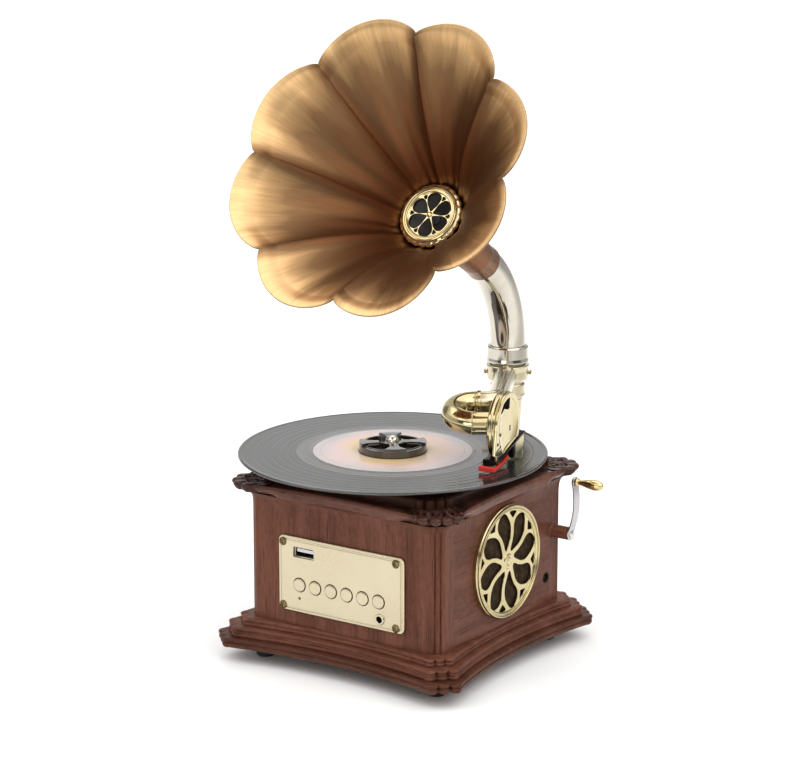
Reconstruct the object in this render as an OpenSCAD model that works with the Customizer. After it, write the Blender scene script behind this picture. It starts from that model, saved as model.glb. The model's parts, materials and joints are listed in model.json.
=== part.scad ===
// Table record player with a flower horn, on a square wooden cabinet.
// Millimetres, +Z up, front is -Y, the crank is on the +X side.
// Parts are placed from the centre of the cabinet on the floor; shift_x and
// shift_y then move the whole object so that the origin is under the middle
// of its overall footprint.

/* [Cabinet] */
// Half width of the cabinet body over its flat faces
body_half = 64.1; // [63.5:0.1:65]
// Height of the body's bottom edge above the floor
body_z0 = 24.9; // [24.9:0.1:25]
// Height of the underside of the top plate
plate_z0 = 97.8; // [97.6:0.1:98.2]
// Height of the top of the top plate
plate_z1 = 104.5; // [104.3:0.1:104.7]
// Height of the top of the raised deck
deck_z1 = 110; // [109.9:0.05:110.1]
// Thickness of the cabinet walls
wall_t = 6; // [5:0.5:6]
// Height of the rubber feet
foot_h = 8.9; // [8.9:0.1:9]
// Radius of the rubber feet
foot_r = 5.4; // [5:0.1:6]

/* [Turntable] */
// Spindle position from the cabinet centre, X
sp_x = -6.9; // [-7.2:0.1:-6.6]
// Spindle position from the cabinet centre, Y
sp_y = -4.2; // [-4.4:0.1:-4]
// Radius of the record
record_r = 87.3; // [87:0.1:87.6]
// Height of the top face of the record
record_z = 116; // [116:0.1:116.1]
// Radius of the centre adapter (half of the 38.1 mm hole size)
adapter_r = 19.05; // [19:0.01:19.06]
// Radius of the spindle where it centres the adapter
spindle_r = 3.57; // [3.5:0.01:3.58]
// Radius of the platter
platter_r = 56; // [55:1:60]
// Radius of the belt ring under the platter
ring_r = 36; // [35:1:37]
// Radius of the motor pulley
pulley_r = 4; // [3.5:0.5:4]

/* [Tonearm] */
// Radius of the tonearm tube
tube_r = 6.45; // [6:0.05:6.6]
// Radius of the gooseneck's bend, at the middle of the tube
bend_r = 12.25; // [12:0.05:12.5]
// Radius of the sound box's rim
box_r = 19.5; // [19:0.1:19.6]

/* [Horn] */
// Direction that the horn faces, in plan
horn_yaw = 272.5; // [268:0.5:276]
// Radius of the notch circle of the mouth
notch_r = 78.8; // [76:0.1:80]
// Radius of the petal tips
petal_r = 89.6; // [86:0.1:90]
// Distance from the neck to the mouth along the horn's axis
horn_len = 139.8; // [138:0.1:141]
// Thickness of the horn's sheet
horn_t = 1.2; // [1:0.1:1.5]

/* [Crank] */
// Height of the crank's axis
crank_z = 66.8; // [66:0.1:68]
// Distance from the crank's axis to the knob's pin
crank_arm_l = 31; // [29:0.5:31.5]

/* [Hidden] */
shift_x = -1.4;
shift_y = -13.6;
e = 0.01;
sq2 = sqrt(2);

wood = [0.33, 0.17, 0.12];
brass = [0.85, 0.72, 0.42];
silver = [0.8, 0.8, 0.8];
dark = [0.08, 0.08, 0.08];

// cabinet details
post_in = 50.2;                 // inner corner of the corner posts
in_half = body_half - wall_t;   // inside face of the walls
post_cut = 6.85;                // corner chamfer of the body
screw_x = 58;
screw_y = 57;
panel_x = 0.25;
panel_z = 54.85;
panel_w = 84.1;
panel_h = 43.3;
panel_t = 2;
face_y = -body_half - panel_t;  // front face of the control panel
btn_x0 = -27.4;
btn_dx = 10.62;
btn_z = 49.35;
usb_x = -24.65;
usb_z = 68.05;
jack_x = 26.5;
jack_z = 39.4;
led_x = -27.5;
led_z = 41.5;
grille_y = 1.6;
grille_z = 62.1;
grille_r = 32.6;
dc_y = 46.3;
dc_z = 40.2;
crank_y = 52.7;

// turntable details
mat_z1 = record_z - 1.6;        // record underside
platter_z1 = mat_z1 - 0.8;
platter_z0 = platter_z1 - 1;
motor_a = 135;                  // direction of the motor seen from the spindle
motor_d = 50;
motor_x = sp_x + motor_d * cos(motor_a);
motor_y = sp_y + motor_d * sin(motor_a);

// column
col_y = 106;
journal_r = 7.9;
pivot_z = 140.2;

// tonearm frame: X runs along the gooseneck's legs, Z is height over the record
arm_yaw = 34.19;
leg_back = [58.1, -2.5, 28.4];
bend_c = [45.6, -14.75, 25.55];
bend_tilt = 13.1;
box_c = [63.9, -28, 21.5];
box_yaw = 67.81;
box_d = 8;                      // depth of the sound box
col_l = [67.6, 87.3, 24.2];     // pivot, seen in the tonearm frame
arm_dir = leg_back - col_l;
arm_len = norm(arm_dir);
stylus_v = -21.2;               // lowest point of the stylus

// horn
elbow_r = 63.6;
elbow_a = 57.6;
elbow_z = 156.8;
neck = [elbow_r * (1 - cos(elbow_a)), 0, elbow_z + elbow_r * sin(elbow_a)];
throat_w = 67;
petals = 8;
seg = 6;                        // points along one petal
rows = [15.02, 26, 38, 50, 62, 74, 86, 98, 110, 121, 131, horn_len];
bell_w0 = 10;                   // where the bell's flare is counted from

module place() { translate([shift_x, shift_y, 0]) children(); }
module at_spindle() { translate([sp_x, sp_y, 0]) children(); }
module arm_frame() { translate([sp_x, sp_y, record_z]) rotate(arm_yaw) children(); }
module box_frame() { arm_frame() translate(box_c) rotate([90, 0, box_yaw]) children(); }
module horn_frame() { translate([0, col_y, 0]) rotate(horn_yaw) children(); }
module bell_frame() { horn_frame() translate(neck) rotate([0, elbow_a, 0]) children(); }
// cylinder from point p in direction d
module rod(p, d, l, r) {
    translate(p) rotate([0, acos(d[2] / norm(d)), atan2(d[1], d[0])]) cylinder(h = l, r = r, $fn = 48);
}
module ring2d(ro, ri, f = 96) { difference() { circle(r = ro, $fn = f); circle(r = ri, $fn = f); } }
module ring(z0, z1, ro, ri, f = 96) { translate([0, 0, z0]) linear_extrude(z1 - z0) ring2d(ro, ri, f); }
module feet_points() { for (x = [-1, 1], y = [-1, 1]) translate([x * screw_x, y * screw_y, 0]) children(); }

// square board with hollowed sides and cut corners that carry three lobes each
module board2d(mid, end, cut, lobe, inset) {
    hollow2d(mid, end, cut);
    lobes2d(end, cut, lobe, inset, cut * sq2 / 3);
}
module hollow2d(mid, end, cut) {
    l = end - cut - 0.6;
    s = end - mid;
    r = (l * l + s * s) / (2 * s);
    difference() {
        intersection() {
            square(2 * end, center = true);
            rotate(45) square(sq2 * (2 * end - cut), center = true);
        }
        for (k = [0:3]) rotate(90 * k) translate([mid + r, 0]) circle(r = r, $fn = 360);
    }
}
// four lobes across each corner, the outer two set back
module ear_lobes(step, out, back, lobe) {
    for (k = [0:3]) rotate(45 + 90 * k) for (i = [-1.5, -0.5, 0.5, 1.5])
        translate([out - (abs(i) > 1 ? back : 0), i * step]) circle(r = lobe, $fn = 40);
}
module lobes2d(end, cut, lobe, inset, step) {
    c = end - cut / 2 - inset / sq2;
    for (k = [0:3]) rotate(90 * k) for (i = [-1:1])
        translate([c - i * step / sq2, c + i * step / sq2]) circle(r = lobe, $fn = 40);
}
module slab(z0, z1) { translate([0, 0, z0]) linear_extrude(z1 - z0) children(); }

// ---- base ----
module plinth_base() color(wood) place() difference() {
    slab(foot_h, 14.6) board2d(73.5, 80.8, 13.9, 3.5, 0.5);
    feet_points() translate([0, 0, foot_h - 1]) cylinder(h = 10, r = 1.6, $fn = 32);
}
module plinth_step() color(wood) place() difference() {
    union() {
        slab(14.6, 20.5) board2d(69.5, 76.35, 13.2, 3.3, 0.4);
        slab(20.5, body_z0) board2d(66, 71, 11.2, 2.85, 0.35);
    }
    feet_points() translate([0, 0, 14]) cylinder(h = 15, r = 1.6, $fn = 32);
}
module rubber_feet() color(dark) place() feet_points() difference() {
    union() {
        cylinder(h = 1.2, r1 = foot_r - 0.8, r2 = foot_r, $fn = 48);
        translate([0, 0, 1.2]) cylinder(h = foot_h - 1.2, r = foot_r, $fn = 48);
    }
    translate([0, 0, -1]) cylinder(h = 5, r = 3, $fn = 48);
    translate([0, 0, 1]) cylinder(h = 12, r = 1.6, $fn = 32);
}
module base_screws() color(silver) place() feet_points() {
    translate([0, 0, 4]) cylinder(h = 41, r = 1.5, $fn = 32);
    difference() {
        translate([0, 0, 2.2]) cylinder(h = 1.8, r = 2.8, $fn = 32);
        translate([0, 0, 2.7]) cube([0.7, 3.6, 1.2], center = true);
        translate([0, 0, 2.7]) cube([3.6, 0.7, 1.2], center = true);
    }
}

// ---- cabinet ----
module wall(ax) {
    // a plain board between two corner posts, with its outer face on +Y after turning
    rotate(ax) translate([-post_in, in_half, body_z0]) cube([2 * post_in, wall_t, plate_z0 - body_z0]);
}
module y_hole(x, z, r, y0, l) { translate([x, y0, z]) rotate([-90, 0, 0]) cylinder(h = l, r = r, $fn = 40); }
module x_hole(y, z, r, x0, l) { translate([x0, y, z]) rotate([0, 90, 0]) cylinder(h = l, r = r, $fn = 64); }
module front_wall() color(wood) place() difference() {
    wall(180);
    translate([-34.5, -body_half - 1, 35]) cube([69, wall_t + 2, 20.4]);
    translate([usb_x - 8, -body_half - 1, usb_z - 4.4]) cube([16, wall_t + 2, 8.8]);
    for (x = [-38.6, 37.1], z = [36.2, 72.9]) y_hole(x, z, 1.22, -body_half - 1, 5);
}
module rear_wall() color(wood) place() difference() {
    wall(0);
    for (x = [-15, 15], z = [54, 88]) y_hole(x, z, 1.22, body_half - 4.5, 6);
}
module left_wall() color(wood) place() wall(90);
module right_wall() color(wood) place() difference() {
    wall(270);
    x_hole(grille_y, grille_z, 17, in_half - 1, wall_t + 2);
    x_hole(dc_y, dc_z, 3.3, in_half - 1, wall_t + 2);
}
module corner_posts() color(wood) place() difference() {
    slab(body_z0, plate_z0) intersection() {
        union() {
            intersection() {
                square(2 * body_half, center = true);
                rotate(45) square(sq2 * (2 * body_half - post_cut), center = true);
            }
            lobes2d(body_half, post_cut, 1.75, 0.3, post_cut * sq2 / 3);
        }
        for (x = [-1, 1], y = [-1, 1]) translate([x * (post_in + 10), y * (post_in + 10)]) square(20, center = true);
    }
    feet_points() translate([0, 0, 20]) cylinder(h = 25, r = 1.52, $fn = 32);
    x_hole(crank_y, crank_z, 1.56, post_in - 1, 20);
}
module top_plate() color(wood) place() difference() {
    slab(plate_z0, plate_z1) {
        hollow2d(67.5, 73.4, 14.6);
        ear_lobes(6.2, 95.8, 3.35, 3.3);
    }
    at_spindle() translate([0, 0, 90]) cylinder(h = 30, r = 4.5, $fn = 48);
    translate([motor_x, motor_y, 90]) cylinder(h = 30, r = 3.2, $fn = 48);
}
module top_deck() color(wood) place() difference() {
    slab(plate_z1, deck_z1) {
        intersection() {
            square(121.2, center = true);
            rotate(45) square(sq2 * 108, center = true);
        }
        ear_lobes(5.1, 78.6, 2.6, 3.1);
    }
    at_spindle() translate([0, 0, 90]) cylinder(h = 30, r = 4.5, $fn = 48);
    translate([motor_x, motor_y, 90]) cylinder(h = 30, r = 3.2, $fn = 48);
}

// ---- control panel ----
module round_rect(w, h, r) {
    square([w - 2 * r, h], center = true);
    square([w, h - 2 * r], center = true);
    for (x = [-1, 1], y = [-1, 1]) translate([x * (w / 2 - r), y * (h / 2 - r)]) circle(r = r, $fn = 40);
}
module control_panel() color(brass) place() difference() {
    translate([panel_x, -body_half, panel_z]) rotate([90, 0, 0]) linear_extrude(panel_t) round_rect(panel_w, panel_h, 3);
    for (i = [0:5]) y_hole(btn_x0 + btn_dx * i, btn_z, 3.95, face_y - 1, 4);
    y_hole(jack_x, jack_z, 2.62, face_y - 1, 4);
    y_hole(led_x, led_z, 0.9, face_y - 1, 4);
    for (x = [-38.6, 37.1], z = [36.2, 72.9]) y_hole(x, z, 1.3, face_y - 1, 4);
    translate([usb_x - 6.95, face_y - 1, usb_z - 2.95]) cube([13.9, 4, 5.9]);
}
module panel_screws() color(brass) place() for (x = [-38.6, 37.1], z = [36.2, 72.9]) translate([x, face_y, z]) rotate([90, 0, 0]) {
    difference() {
        union() {
            cylinder(h = 0.7, r = 2.2, $fn = 40);
            translate([0, 0, 0.7]) cylinder(h = 0.5, r1 = 2.2, r2 = 1.5, $fn = 40);
        }
        translate([0, 0, 1]) cube([0.5, 2.6, 0.8], center = true);
        translate([0, 0, 1]) cube([2.6, 0.5, 0.8], center = true);
    }
    translate([0, 0, -5.8]) cylinder(h = 5.8, r = 1.2, $fn = 32);
}
// cap, flange behind the panel and stem of one push button
module button(i) color(brass) place() translate([btn_x0 + btn_dx * i, face_y, btn_z]) rotate([90, 0, 0]) {
    translate([0, 0, -2.4]) cylinder(h = 3.6, r = 3.75, $fn = 48);
    translate([0, 0, 1.2]) cylinder(h = 0.4, r1 = 3.75, r2 = 3.3, $fn = 48);
    translate([0, 0, -3.3]) cylinder(h = 0.9, r = 4.6, $fn = 48);
    translate([0, 0, -5.6]) cylinder(h = 2.3, r = 1.5, $fn = 32);
}
module button_1() button(0);
module button_2() button(1);
module button_3() button(2);
module button_4() button(3);
module button_5() button(4);
module button_6() button(5);
module button_board() color([0.1, 0.35, 0.2]) place() {
    difference() {
        translate([-40, -57.9, 33.6]) cube([80, 1.4, 26.4]);
        translate([jack_x - 4.2, -59, jack_z - 4.2]) cube([8.4, 4, 8.4]);
    }
    for (i = [0:5]) translate([btn_x0 + btn_dx * i - 2.25, -59.4, btn_z - 2.25]) cube([4.5, 1.5, 4.5]);
    y_hole(led_x, led_z, 0.8, face_y + 0.2, 8);
    for (x = [-37, 37]) translate([x - 2, -58.1, 56]) cube([4, 0.2, 3.6]);
}
module usb_socket() color(silver) place() translate([usb_x, -body_half, usb_z]) {
    difference() {
        translate([-7.3, 0, -3.4]) cube([14.6, 14, 6.8]);
        translate([-6.7, -1, -2.8]) cube([13.4, 13.5, 5.6]);
    }
    translate([-5.9, 1, 0.2]) cube([11.8, 11.6, 1.9]);
}
module headphone_jack() color(silver) place() translate([jack_x, face_y, jack_z]) difference() {
    union() {
        rotate([90, 0, 0]) cylinder(h = 0.9, r = 3.2, $fn = 48);
        translate([0, 6, 0]) rotate([90, 0, 0]) cylinder(h = 6, r = 2.6, $fn = 48);
        translate([-3.6, 6, -3.6]) cube([7.2, 10, 7.2]);
    }
    translate([0, 12, 0]) rotate([90, 0, 0]) cylinder(h = 14, r = 1.8, $fn = 48);
}

// ---- side grille, speaker and inlet ----
petal_n = 24;
// a window of the grille is drop-shaped and leans over: centre line and half width as it runs outward
function pet_s(t) = let (q = min(1, max(0, (t - 0.3) / 0.55))) q * q * (3 - 2 * q);
function pet_w(t) = 6.4 * pow(max(0, sin(180 * pow(t, 1.8))), 0.62) + 0.02;
function pet_pt(t, s) = [-1.5 - 3.4 * pet_s(t) + s * pet_w(t), 6.3 + 21.5 * t];
module grille_petal() polygon(concat([for (i = [0:petal_n]) pet_pt(i / petal_n, 1)], [for (i = [1:petal_n - 1]) pet_pt(1 - i / petal_n, -1)]));
module speaker_grille() color(brass) place() translate([body_half, grille_y, grille_z]) rotate([90, 0, 90]) {
    difference() {
        union() {
            ring(0, 2.6, grille_r, 28.5, 128);
            ring(2.6, 4, 31.6, 29.6, 128);
        }
    }
    translate([0, 0, 0.9]) linear_extrude(1.5) difference() {
        circle(r = 28.5, $fn = 128);
        for (k = [0:7]) rotate(45 * k) {
            grille_petal();
            polygon([[1.4, 28], [4.2, 28.15], [8.6, 26.9], [5, 24.3]]);
        }
    }
    translate([0, 0, 2.4]) cylinder(h = 0.8, r = 4.6, $fn = 48);
    translate([0, 0, 3.2]) cylinder(h = 0.8, r1 = 2.5, r2 = 1.6, $fn = 48);
}
module grille_cloth() color([0.25, 0.17, 0.1]) place() translate([body_half, grille_y, grille_z]) rotate([90, 0, 90]) translate([0, 0, 0.05]) cylinder(h = 0.6, r = 28.3, $fn = 96);
module side_speaker() color(dark) place() translate([in_half, grille_y, grille_z]) rotate([90, 0, 270]) {
    ring(0.02, 2.2, 20, 16.5, 96);
    translate([0, 0, 2.2]) rotate_extrude($fn = 96) polygon([[16.2, 0], [20, 0], [20, 1], [12, 9], [12, 10], [0, 10], [0, 8], [4, 8]]);
    translate([0, 0, 12.2]) cylinder(h = 6, r = 13, $fn = 64);
}
module dc_socket() color(dark) place() translate([body_half, dc_y, dc_z]) rotate([90, 0, 90]) difference() {
    translate([0, 0, -9]) cylinder(h = 9.12, r = 3.2, $fn = 48);
    difference() {
        translate([0, 0, -7.5]) cylinder(h = 12, r = 2.5, $fn = 48);
        translate([0, 0, -9]) cylinder(h = 8.4, r = 0.8, $fn = 32);
    }
}

// ---- inside the cabinet ----
module main_board() color([0.1, 0.35, 0.2]) place() {
    translate([-38, -38, 29]) cube([70, 48, 1.6]);
    for (x = [-34, 28], y = [-34, 6]) translate([x, y, body_z0]) cylinder(h = 4.1, r = 2.4, $fn = 32);
    translate([-20, -24, 30.6]) cube([14, 14, 1.6]);
    translate([6, -26, 30.6]) cube([18, 12, 4]);
    for (i = [0:2]) translate([-26 + 12 * i, 2, 30.6]) cylinder(h = 9, r = 3.6, $fn = 40);
}
module battery_pack() color([0.2, 0.35, 0.7]) place() {
    translate([-44, 38, body_z0 + 9.4]) rotate([0, 90, 0]) cylinder(h = 66, r = 9.2, $fn = 64);
    translate([-40, 31, body_z0]) cube([58, 14, 4.2]);
}
module drive_motor() color(silver) place() translate([motor_x, motor_y, 0]) difference() {
    union() {
        translate([0, 0, 76]) cylinder(h = plate_z0 - 76, r = 13.5, $fn = 64);
        translate([0, 0, plate_z0]) cylinder(h = 3, r = 3, $fn = 40);
    }
    translate([0, 0, 92]) cylinder(h = 12, r = 1.06, $fn = 32);
}
module motor_pulley() color(brass) place() translate([motor_x, motor_y, 0]) {
    translate([0, 0, 92.3]) cylinder(h = 18.2, r = 1, $fn = 32);
    translate([0, 0, 110.4]) cylinder(h = 1.9, r = pulley_r, $fn = 48);
}
// outline of the belt at a given distance from the ring and the pulley
function arc_pts(c, r, a0, a1, n) = [for (i = [0:n]) let (a = a0 + (a1 - a0) * i / n) [c + r * cos(a), r * sin(a)]];
module belt2d(off) {
    b = acos((ring_r - pulley_r) / motor_d);
    polygon(concat(arc_pts(0, ring_r + off, b, 360 - b, 72), arc_pts(motor_d, pulley_r + off, -b, b, 12)));
}
module drive_belt() color(dark) place() at_spindle() rotate(motor_a) translate([0, 0, 110.7]) linear_extrude(1.4) difference() {
    belt2d(1.2);
    belt2d(0.1);
}

// ---- turntable ----
module platter() color(silver) place() at_spindle() {
    ring(platter_z0, platter_z1, platter_r, 3.62, 128);
    ring(110.4, platter_z0, ring_r, 33.5, 128);
}
module slip_mat() color(dark) place() at_spindle() ring(platter_z1, mat_z1, platter_r, 3.62, 128);
module bearing_bush() color(brass) place() at_spindle() ring(88, deck_z1 + 0.2, 4.48, 2.56, 48);
module spindle() color(silver) place() at_spindle() {
    translate([0, 0, 87]) cylinder(h = 24, r = 2.5, $fn = 48);
    translate([0, 0, deck_z1 + 0.5]) cylinder(h = platter_z0 - deck_z1 - 0.5, r = 7, $fn = 48);
    translate([0, 0, platter_z0 - e]) cylinder(h = 121.4 - platter_z0, r = spindle_r, $fn = 48);
    translate([0, 0, 121.3]) rotate_extrude($fn = 48) intersection() { circle(r = spindle_r, $fn = 48); square(10); }
}
module record() color(dark) place() at_spindle() rotate_extrude($fn = 180)
    polygon([[19.1, mat_z1], [record_r - 1, mat_z1], [record_r, mat_z1 + 0.6], [record_r, mat_z1 + 1], [record_r - 1, record_z], [19.1, record_z]]);
module record_label() color([0.85, 0.75, 0.7]) place() at_spindle() ring(record_z, record_z + 0.15, 45, 19.6, 128);
// one arm of the adapter's spider and the block at its end
module adapter_arm() {
    polygon([[4, -2.05], [9.5, -2.05], [12.5, -2.5], [15, -3.8], [17.2, -6.1], [17.2, 6.1], [15, 3.8], [12.5, 2.5], [9.5, 2.05], [4, 2.05]]);
    intersection() {
        ring2d(adapter_r - 0.1, 16, 96);
        polygon([[0, 0], [30, -10.5], [30, 10.5]]);
    }
}
module center_adapter() color([0.2, 0.16, 0.12]) place() at_spindle() {
    ring(mat_z1, 120.4, adapter_r, 16.6, 96);
    translate([0, 0, 118.6]) linear_extrude(3) difference() {
        union() {
            circle(r = 5.6, $fn = 48);
            for (k = [0:3]) rotate(38.9 + 90 * k) adapter_arm();
        }
        circle(r = 3.64, $fn = 48);
    }
}

// ---- rear bracket and column ----
module rear_bracket() color(brass) place() difference() {
    union() {
        translate([0, body_half, 71]) rotate([-90, 0, 0]) linear_extrude(3) round_rect(42, 46, 4);
        translate([-4, body_half + 2, 62]) cube([8, col_y - body_half - 4, 18]);
        translate([0, col_y, 58]) cylinder(h = 26, r = 11.5, $fn = 64);
    }
    translate([0, col_y, 50]) cylinder(h = 50, r = 7.62, $fn = 64);
    for (x = [-15, 15], z = [54, 88]) y_hole(x, z, 1.6, body_half - 1, 6);
}
module bracket_screws() color(silver) place() for (x = [-15, 15], z = [54, 88]) translate([x, body_half + 3, z]) rotate([-90, 0, 0]) {
    translate([0, 0, -6.5]) cylinder(h = 6.5, r = 1.2, $fn = 32);
    difference() {
        cylinder(h = 1.5, r = 2.6, $fn = 40);
        translate([0, 0, 1.3]) cube([0.6, 3.4, 1], center = true);
        translate([0, 0, 1.3]) cube([3.4, 0.6, 1], center = true);
    }
}
module column() color(brass) place() translate([0, col_y, 0]) difference() {
    union() {
        translate([0, 0, 54]) cylinder(h = 4, r = 9.5, $fn = 64);
        translate([0, 0, 56]) cylinder(h = 50, r = 7.6, $fn = 64);
        translate([0, 0, 106]) cylinder(h = 19.2, r1 = 7.6, r2 = 8.8, $fn = 64);
        translate([0, 0, 125.2 - e]) cylinder(h = 155.6 - 125.2, r = journal_r, $fn = 64);
    }
    translate([0, 0, 50]) cylinder(h = 120, r = 5.4, $fn = 48);
}

// ---- tonearm ----
module swivel_sleeve() color(brass) place() translate([0, col_y, 0]) difference() {
    rotate_extrude($fn = 96) polygon([[journal_r + 0.06, 125.4], [9.6, 125.4], [10.3, 126.2], [10.3, 133.6], [9.4, 134.6], [9.4, 145.2], [journal_r + 0.06, 145.2]]);
    rotate(arm_yaw + atan2(arm_dir[1], arm_dir[0])) translate([0, 0, pivot_z]) for (s = [-1, 1]) rotate([s * 90, 0, 0]) translate([0, 0, 7]) cylinder(h = 4, r = 1.2, $fn = 32);
}
module pivot_screws() color(brass) place() translate([0, col_y, pivot_z]) rotate(arm_yaw + atan2(arm_dir[1], arm_dir[0])) for (s = [-1, 1]) rotate([s * 90, 0, 0]) {
    translate([0, 0, 8.3]) cylinder(h = 5, r = 1.18, $fn = 32);
    difference() {
        translate([0, 0, 12.9]) cylinder(h = 1.5, r = 1.7, $fn = 32);
        translate([0, 0, 14.4]) cube([0.6, 4, 1], center = true);
    }
}
module arm_collar() color(brass) place() translate([0, col_y, 0]) rotate(arm_yaw + atan2(arm_dir[1], arm_dir[0])) difference() {
    union() {
        rotate_extrude($fn = 96) polygon([[10.7, 136.3], [11.7, 136.3], [12.1, 137], [12.1, 142], [12.7, 144.3], [12.7, 145.2], [10.7, 145.2]]);
        translate([11.2, 0, pivot_z]) rotate([0, 90, 0]) cylinder(h = 2.8, r = 4.4, $fn = 48);
    }
    for (s = [-1, 1]) translate([0, 0, pivot_z]) rotate([s * 90, 0, 0]) translate([0, 0, 9]) cylinder(h = 5, r = 1.25, $fn = 32);
}
module arm_tube() color(brass) place() arm_frame() {
    rod(col_l + 14.5 * arm_dir / arm_len, arm_dir, arm_len - 15.5, tube_r - 0.2);
    translate(leg_back) sphere(r = tube_r + 0.3, $fn = 64);
    translate([49.45, leg_back[1] - 0.3, leg_back[2]]) rotate([0, 90, 0]) cylinder(h = leg_back[0] - 50.4, r = tube_r - 0.4, $fn = 48);
}
module gooseneck() color(brass) place() difference() {
    arm_frame() {
        translate(bend_c) rotate([bend_tilt, 0, 0]) {
            rotate([0, 0, 90]) rotate_extrude(angle = 180, $fn = 96) translate([bend_r, 0]) circle(r = tube_r, $fn = 48);
            translate([-e, bend_r, 0]) rotate([0, 90, 0]) {
                cylinder(h = 1.2, r = tube_r, $fn = 48);
                translate([0, 0, 1.2]) cylinder(h = 2.6, r = tube_r + 0.7, $fn = 48);
            }
            translate([-e, -bend_r, 0]) rotate([0, 90, 0]) {
                cylinder(h = 18, r = tube_r, $fn = 48);
                translate([0, 0, -2.4]) cylinder(h = 2.4, r = tube_r + 0.01, $fn = 48);
            }
        }
    }
    box_frame() translate([-30, -30, -box_d]) cube([60, 60, 40]);
}
module face2d() intersection() {
    union() {
        circle(r = 18.9, $fn = 96);
        polygon([[-18.9, 0], [-20, -4], [-21.7, -12.1], [-12.8, -15.2], [-6, -12], [0, 0]]);
    }
    polygon([[-30, 30], [-30, -15.4], [-21.7, -12.1], [-12.8, -15.1], [19.8, -8.5], [30, -6.4], [30, 30]]);
}
module sound_box_body() color(brass) place() box_frame() {
    difference() {
        rotate_extrude($fn = 96) polygon([[0, -box_d], [14, -box_d], [16.5, -6.5], [19, -6], [box_r, -5], [box_r, -3.4], [18.6, -3], [18.6, -1.2], [0, -1.2]]);
        translate([-30, -74.4, -20]) cube([60, 60, 40]);
        translate([0, 0, -4.5]) linear_extrude(5) polygon([[-30, -40], [-30, -15.2], [-12.8, -15.2], [20.2, -9.6], [30, -8], [30, -40]]);
    }
    // side block under the rear of the rim, carried by a short web
    translate([0, 0, -6]) linear_extrude(5.6) polygon([[13.4, -12.5], [26.5, -10.3], [26.8, -14.5], [24.4, -18.6], [13.6, -19.4]]);
    translate([0, 0, -6.2]) linear_extrude(1.3) polygon([[12, -8], [19, -7], [19.5, -12.5], [13.5, -14]]);
}
module sound_box_face() color(brass) place() box_frame() difference() {
    translate([0, 0, -1.2]) linear_extrude(1.2) face2d();
    translate([0, 0, -0.45]) cylinder(h = 2, r = 15, $fn = 96);
    translate([5.6, -4.3, -2]) cube([1, 3.4, 4]);
}
module cartridge() color(dark) place() box_frame() {
    // thin plate under the face
    translate([0, 0, -4.4]) linear_extrude(5) polygon([[-20.6, -17.4], [-12.8, -16.4], [26.5, -9.9], [26.5, -8.9], [20.2, -9.7], [-12.8, -15.3], [-20.6, -15.4]]);
    difference() {
        translate([-20.4, -18.4, -10.4]) cube([14, 4, 9]);
        translate([-30, -14.4, -20]) cube([60, 60, 40]);
    }
    translate([8.5, -20.5, -3.4]) cube([3.2, 8.8, 3]);
}
module stylus() color("red") place() box_frame() {
    translate([0, 0, -1.3]) linear_extrude(1.6) polygon([[-22.6, -20.6], [-21.4, stylus_v], [2.4, -17.6], [2, -16.4], [-8, -17.9], [-20.4, -18.45], [-22.6, -18.45]]);
    translate([-22.6, -20.6, -9]) cube([2.2, 2.1, 7.8]);
}

// ---- horn ----
module horn_ferrule() color(silver) place() horn_frame() difference() {
    rotate_extrude($fn = 96) polygon([[journal_r + 0.06, 146.6], [12.2, 146.6], [12.6, 147.2], [12.4, 148.6], [12, 156.2], [11.6, elbow_z], [6, elbow_z], [6, 155.8], [journal_r + 0.06, 155.8]]);
}
module horn_elbow() color(silver) place() horn_frame() translate([elbow_r, 0, elbow_z]) rotate([90, 0, 180])
    rotate_extrude(angle = elbow_a, $fn = 180) translate([elbow_r, 0]) ring2d(10.4, 9.3, 64);
module horn_neck() color([0.45, 0.3, 0.2]) place() bell_frame() {
    ring(-3, 0.02, 9.15, 8.2, 64);
    ring(0.02, 15, 10.9, 8.9, 64);
}
// radius along a fold of the bell, and how far a petal swells past it
function fold_r(w) = w < throat_w
    ? let (t = (w - bell_w0) / (throat_w - bell_w0)) 9.9 + 8.6 * (0.35 * t + 0.65 * t * t * t)
    : let (x = (w - throat_w) / (horn_len - throat_w)) 18.5 + 35 * x + (notch_r - 53.5) * x * x;
function swell(w) = (petal_r - notch_r) * pow(max(0, (w - 40) / (horn_len - 40)), 1.35);
function bell_r(w, f) = fold_r(w) + swell(w) * pow(max(0, sin(180 * f)), 0.75);
function slope(w) = (fold_r(w + 1) - fold_r(w - 1)) / 2;
function bell_pt(w, k, t) = let (
        f = (k % seg) / seg, a = 360 * k / (petals * seg), s = w < 16 ? 0 : slope(w), n = sqrt(1 + s * s),
        r = bell_r(w, f) + t / n, z = w - t * s / n) [r * cos(a), r * sin(a), z];
ring_n = petals * seg;
row_n = len(rows);
bell_points = concat(
    [for (w = rows, k = [0:ring_n - 1]) bell_pt(w, k, -horn_t / 2)],
    [for (w = rows, k = [0:ring_n - 1]) bell_pt(w, k, horn_t / 2)]);
function bi(s, j, k) = (s * row_n + j) * ring_n + (k % ring_n);
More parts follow.
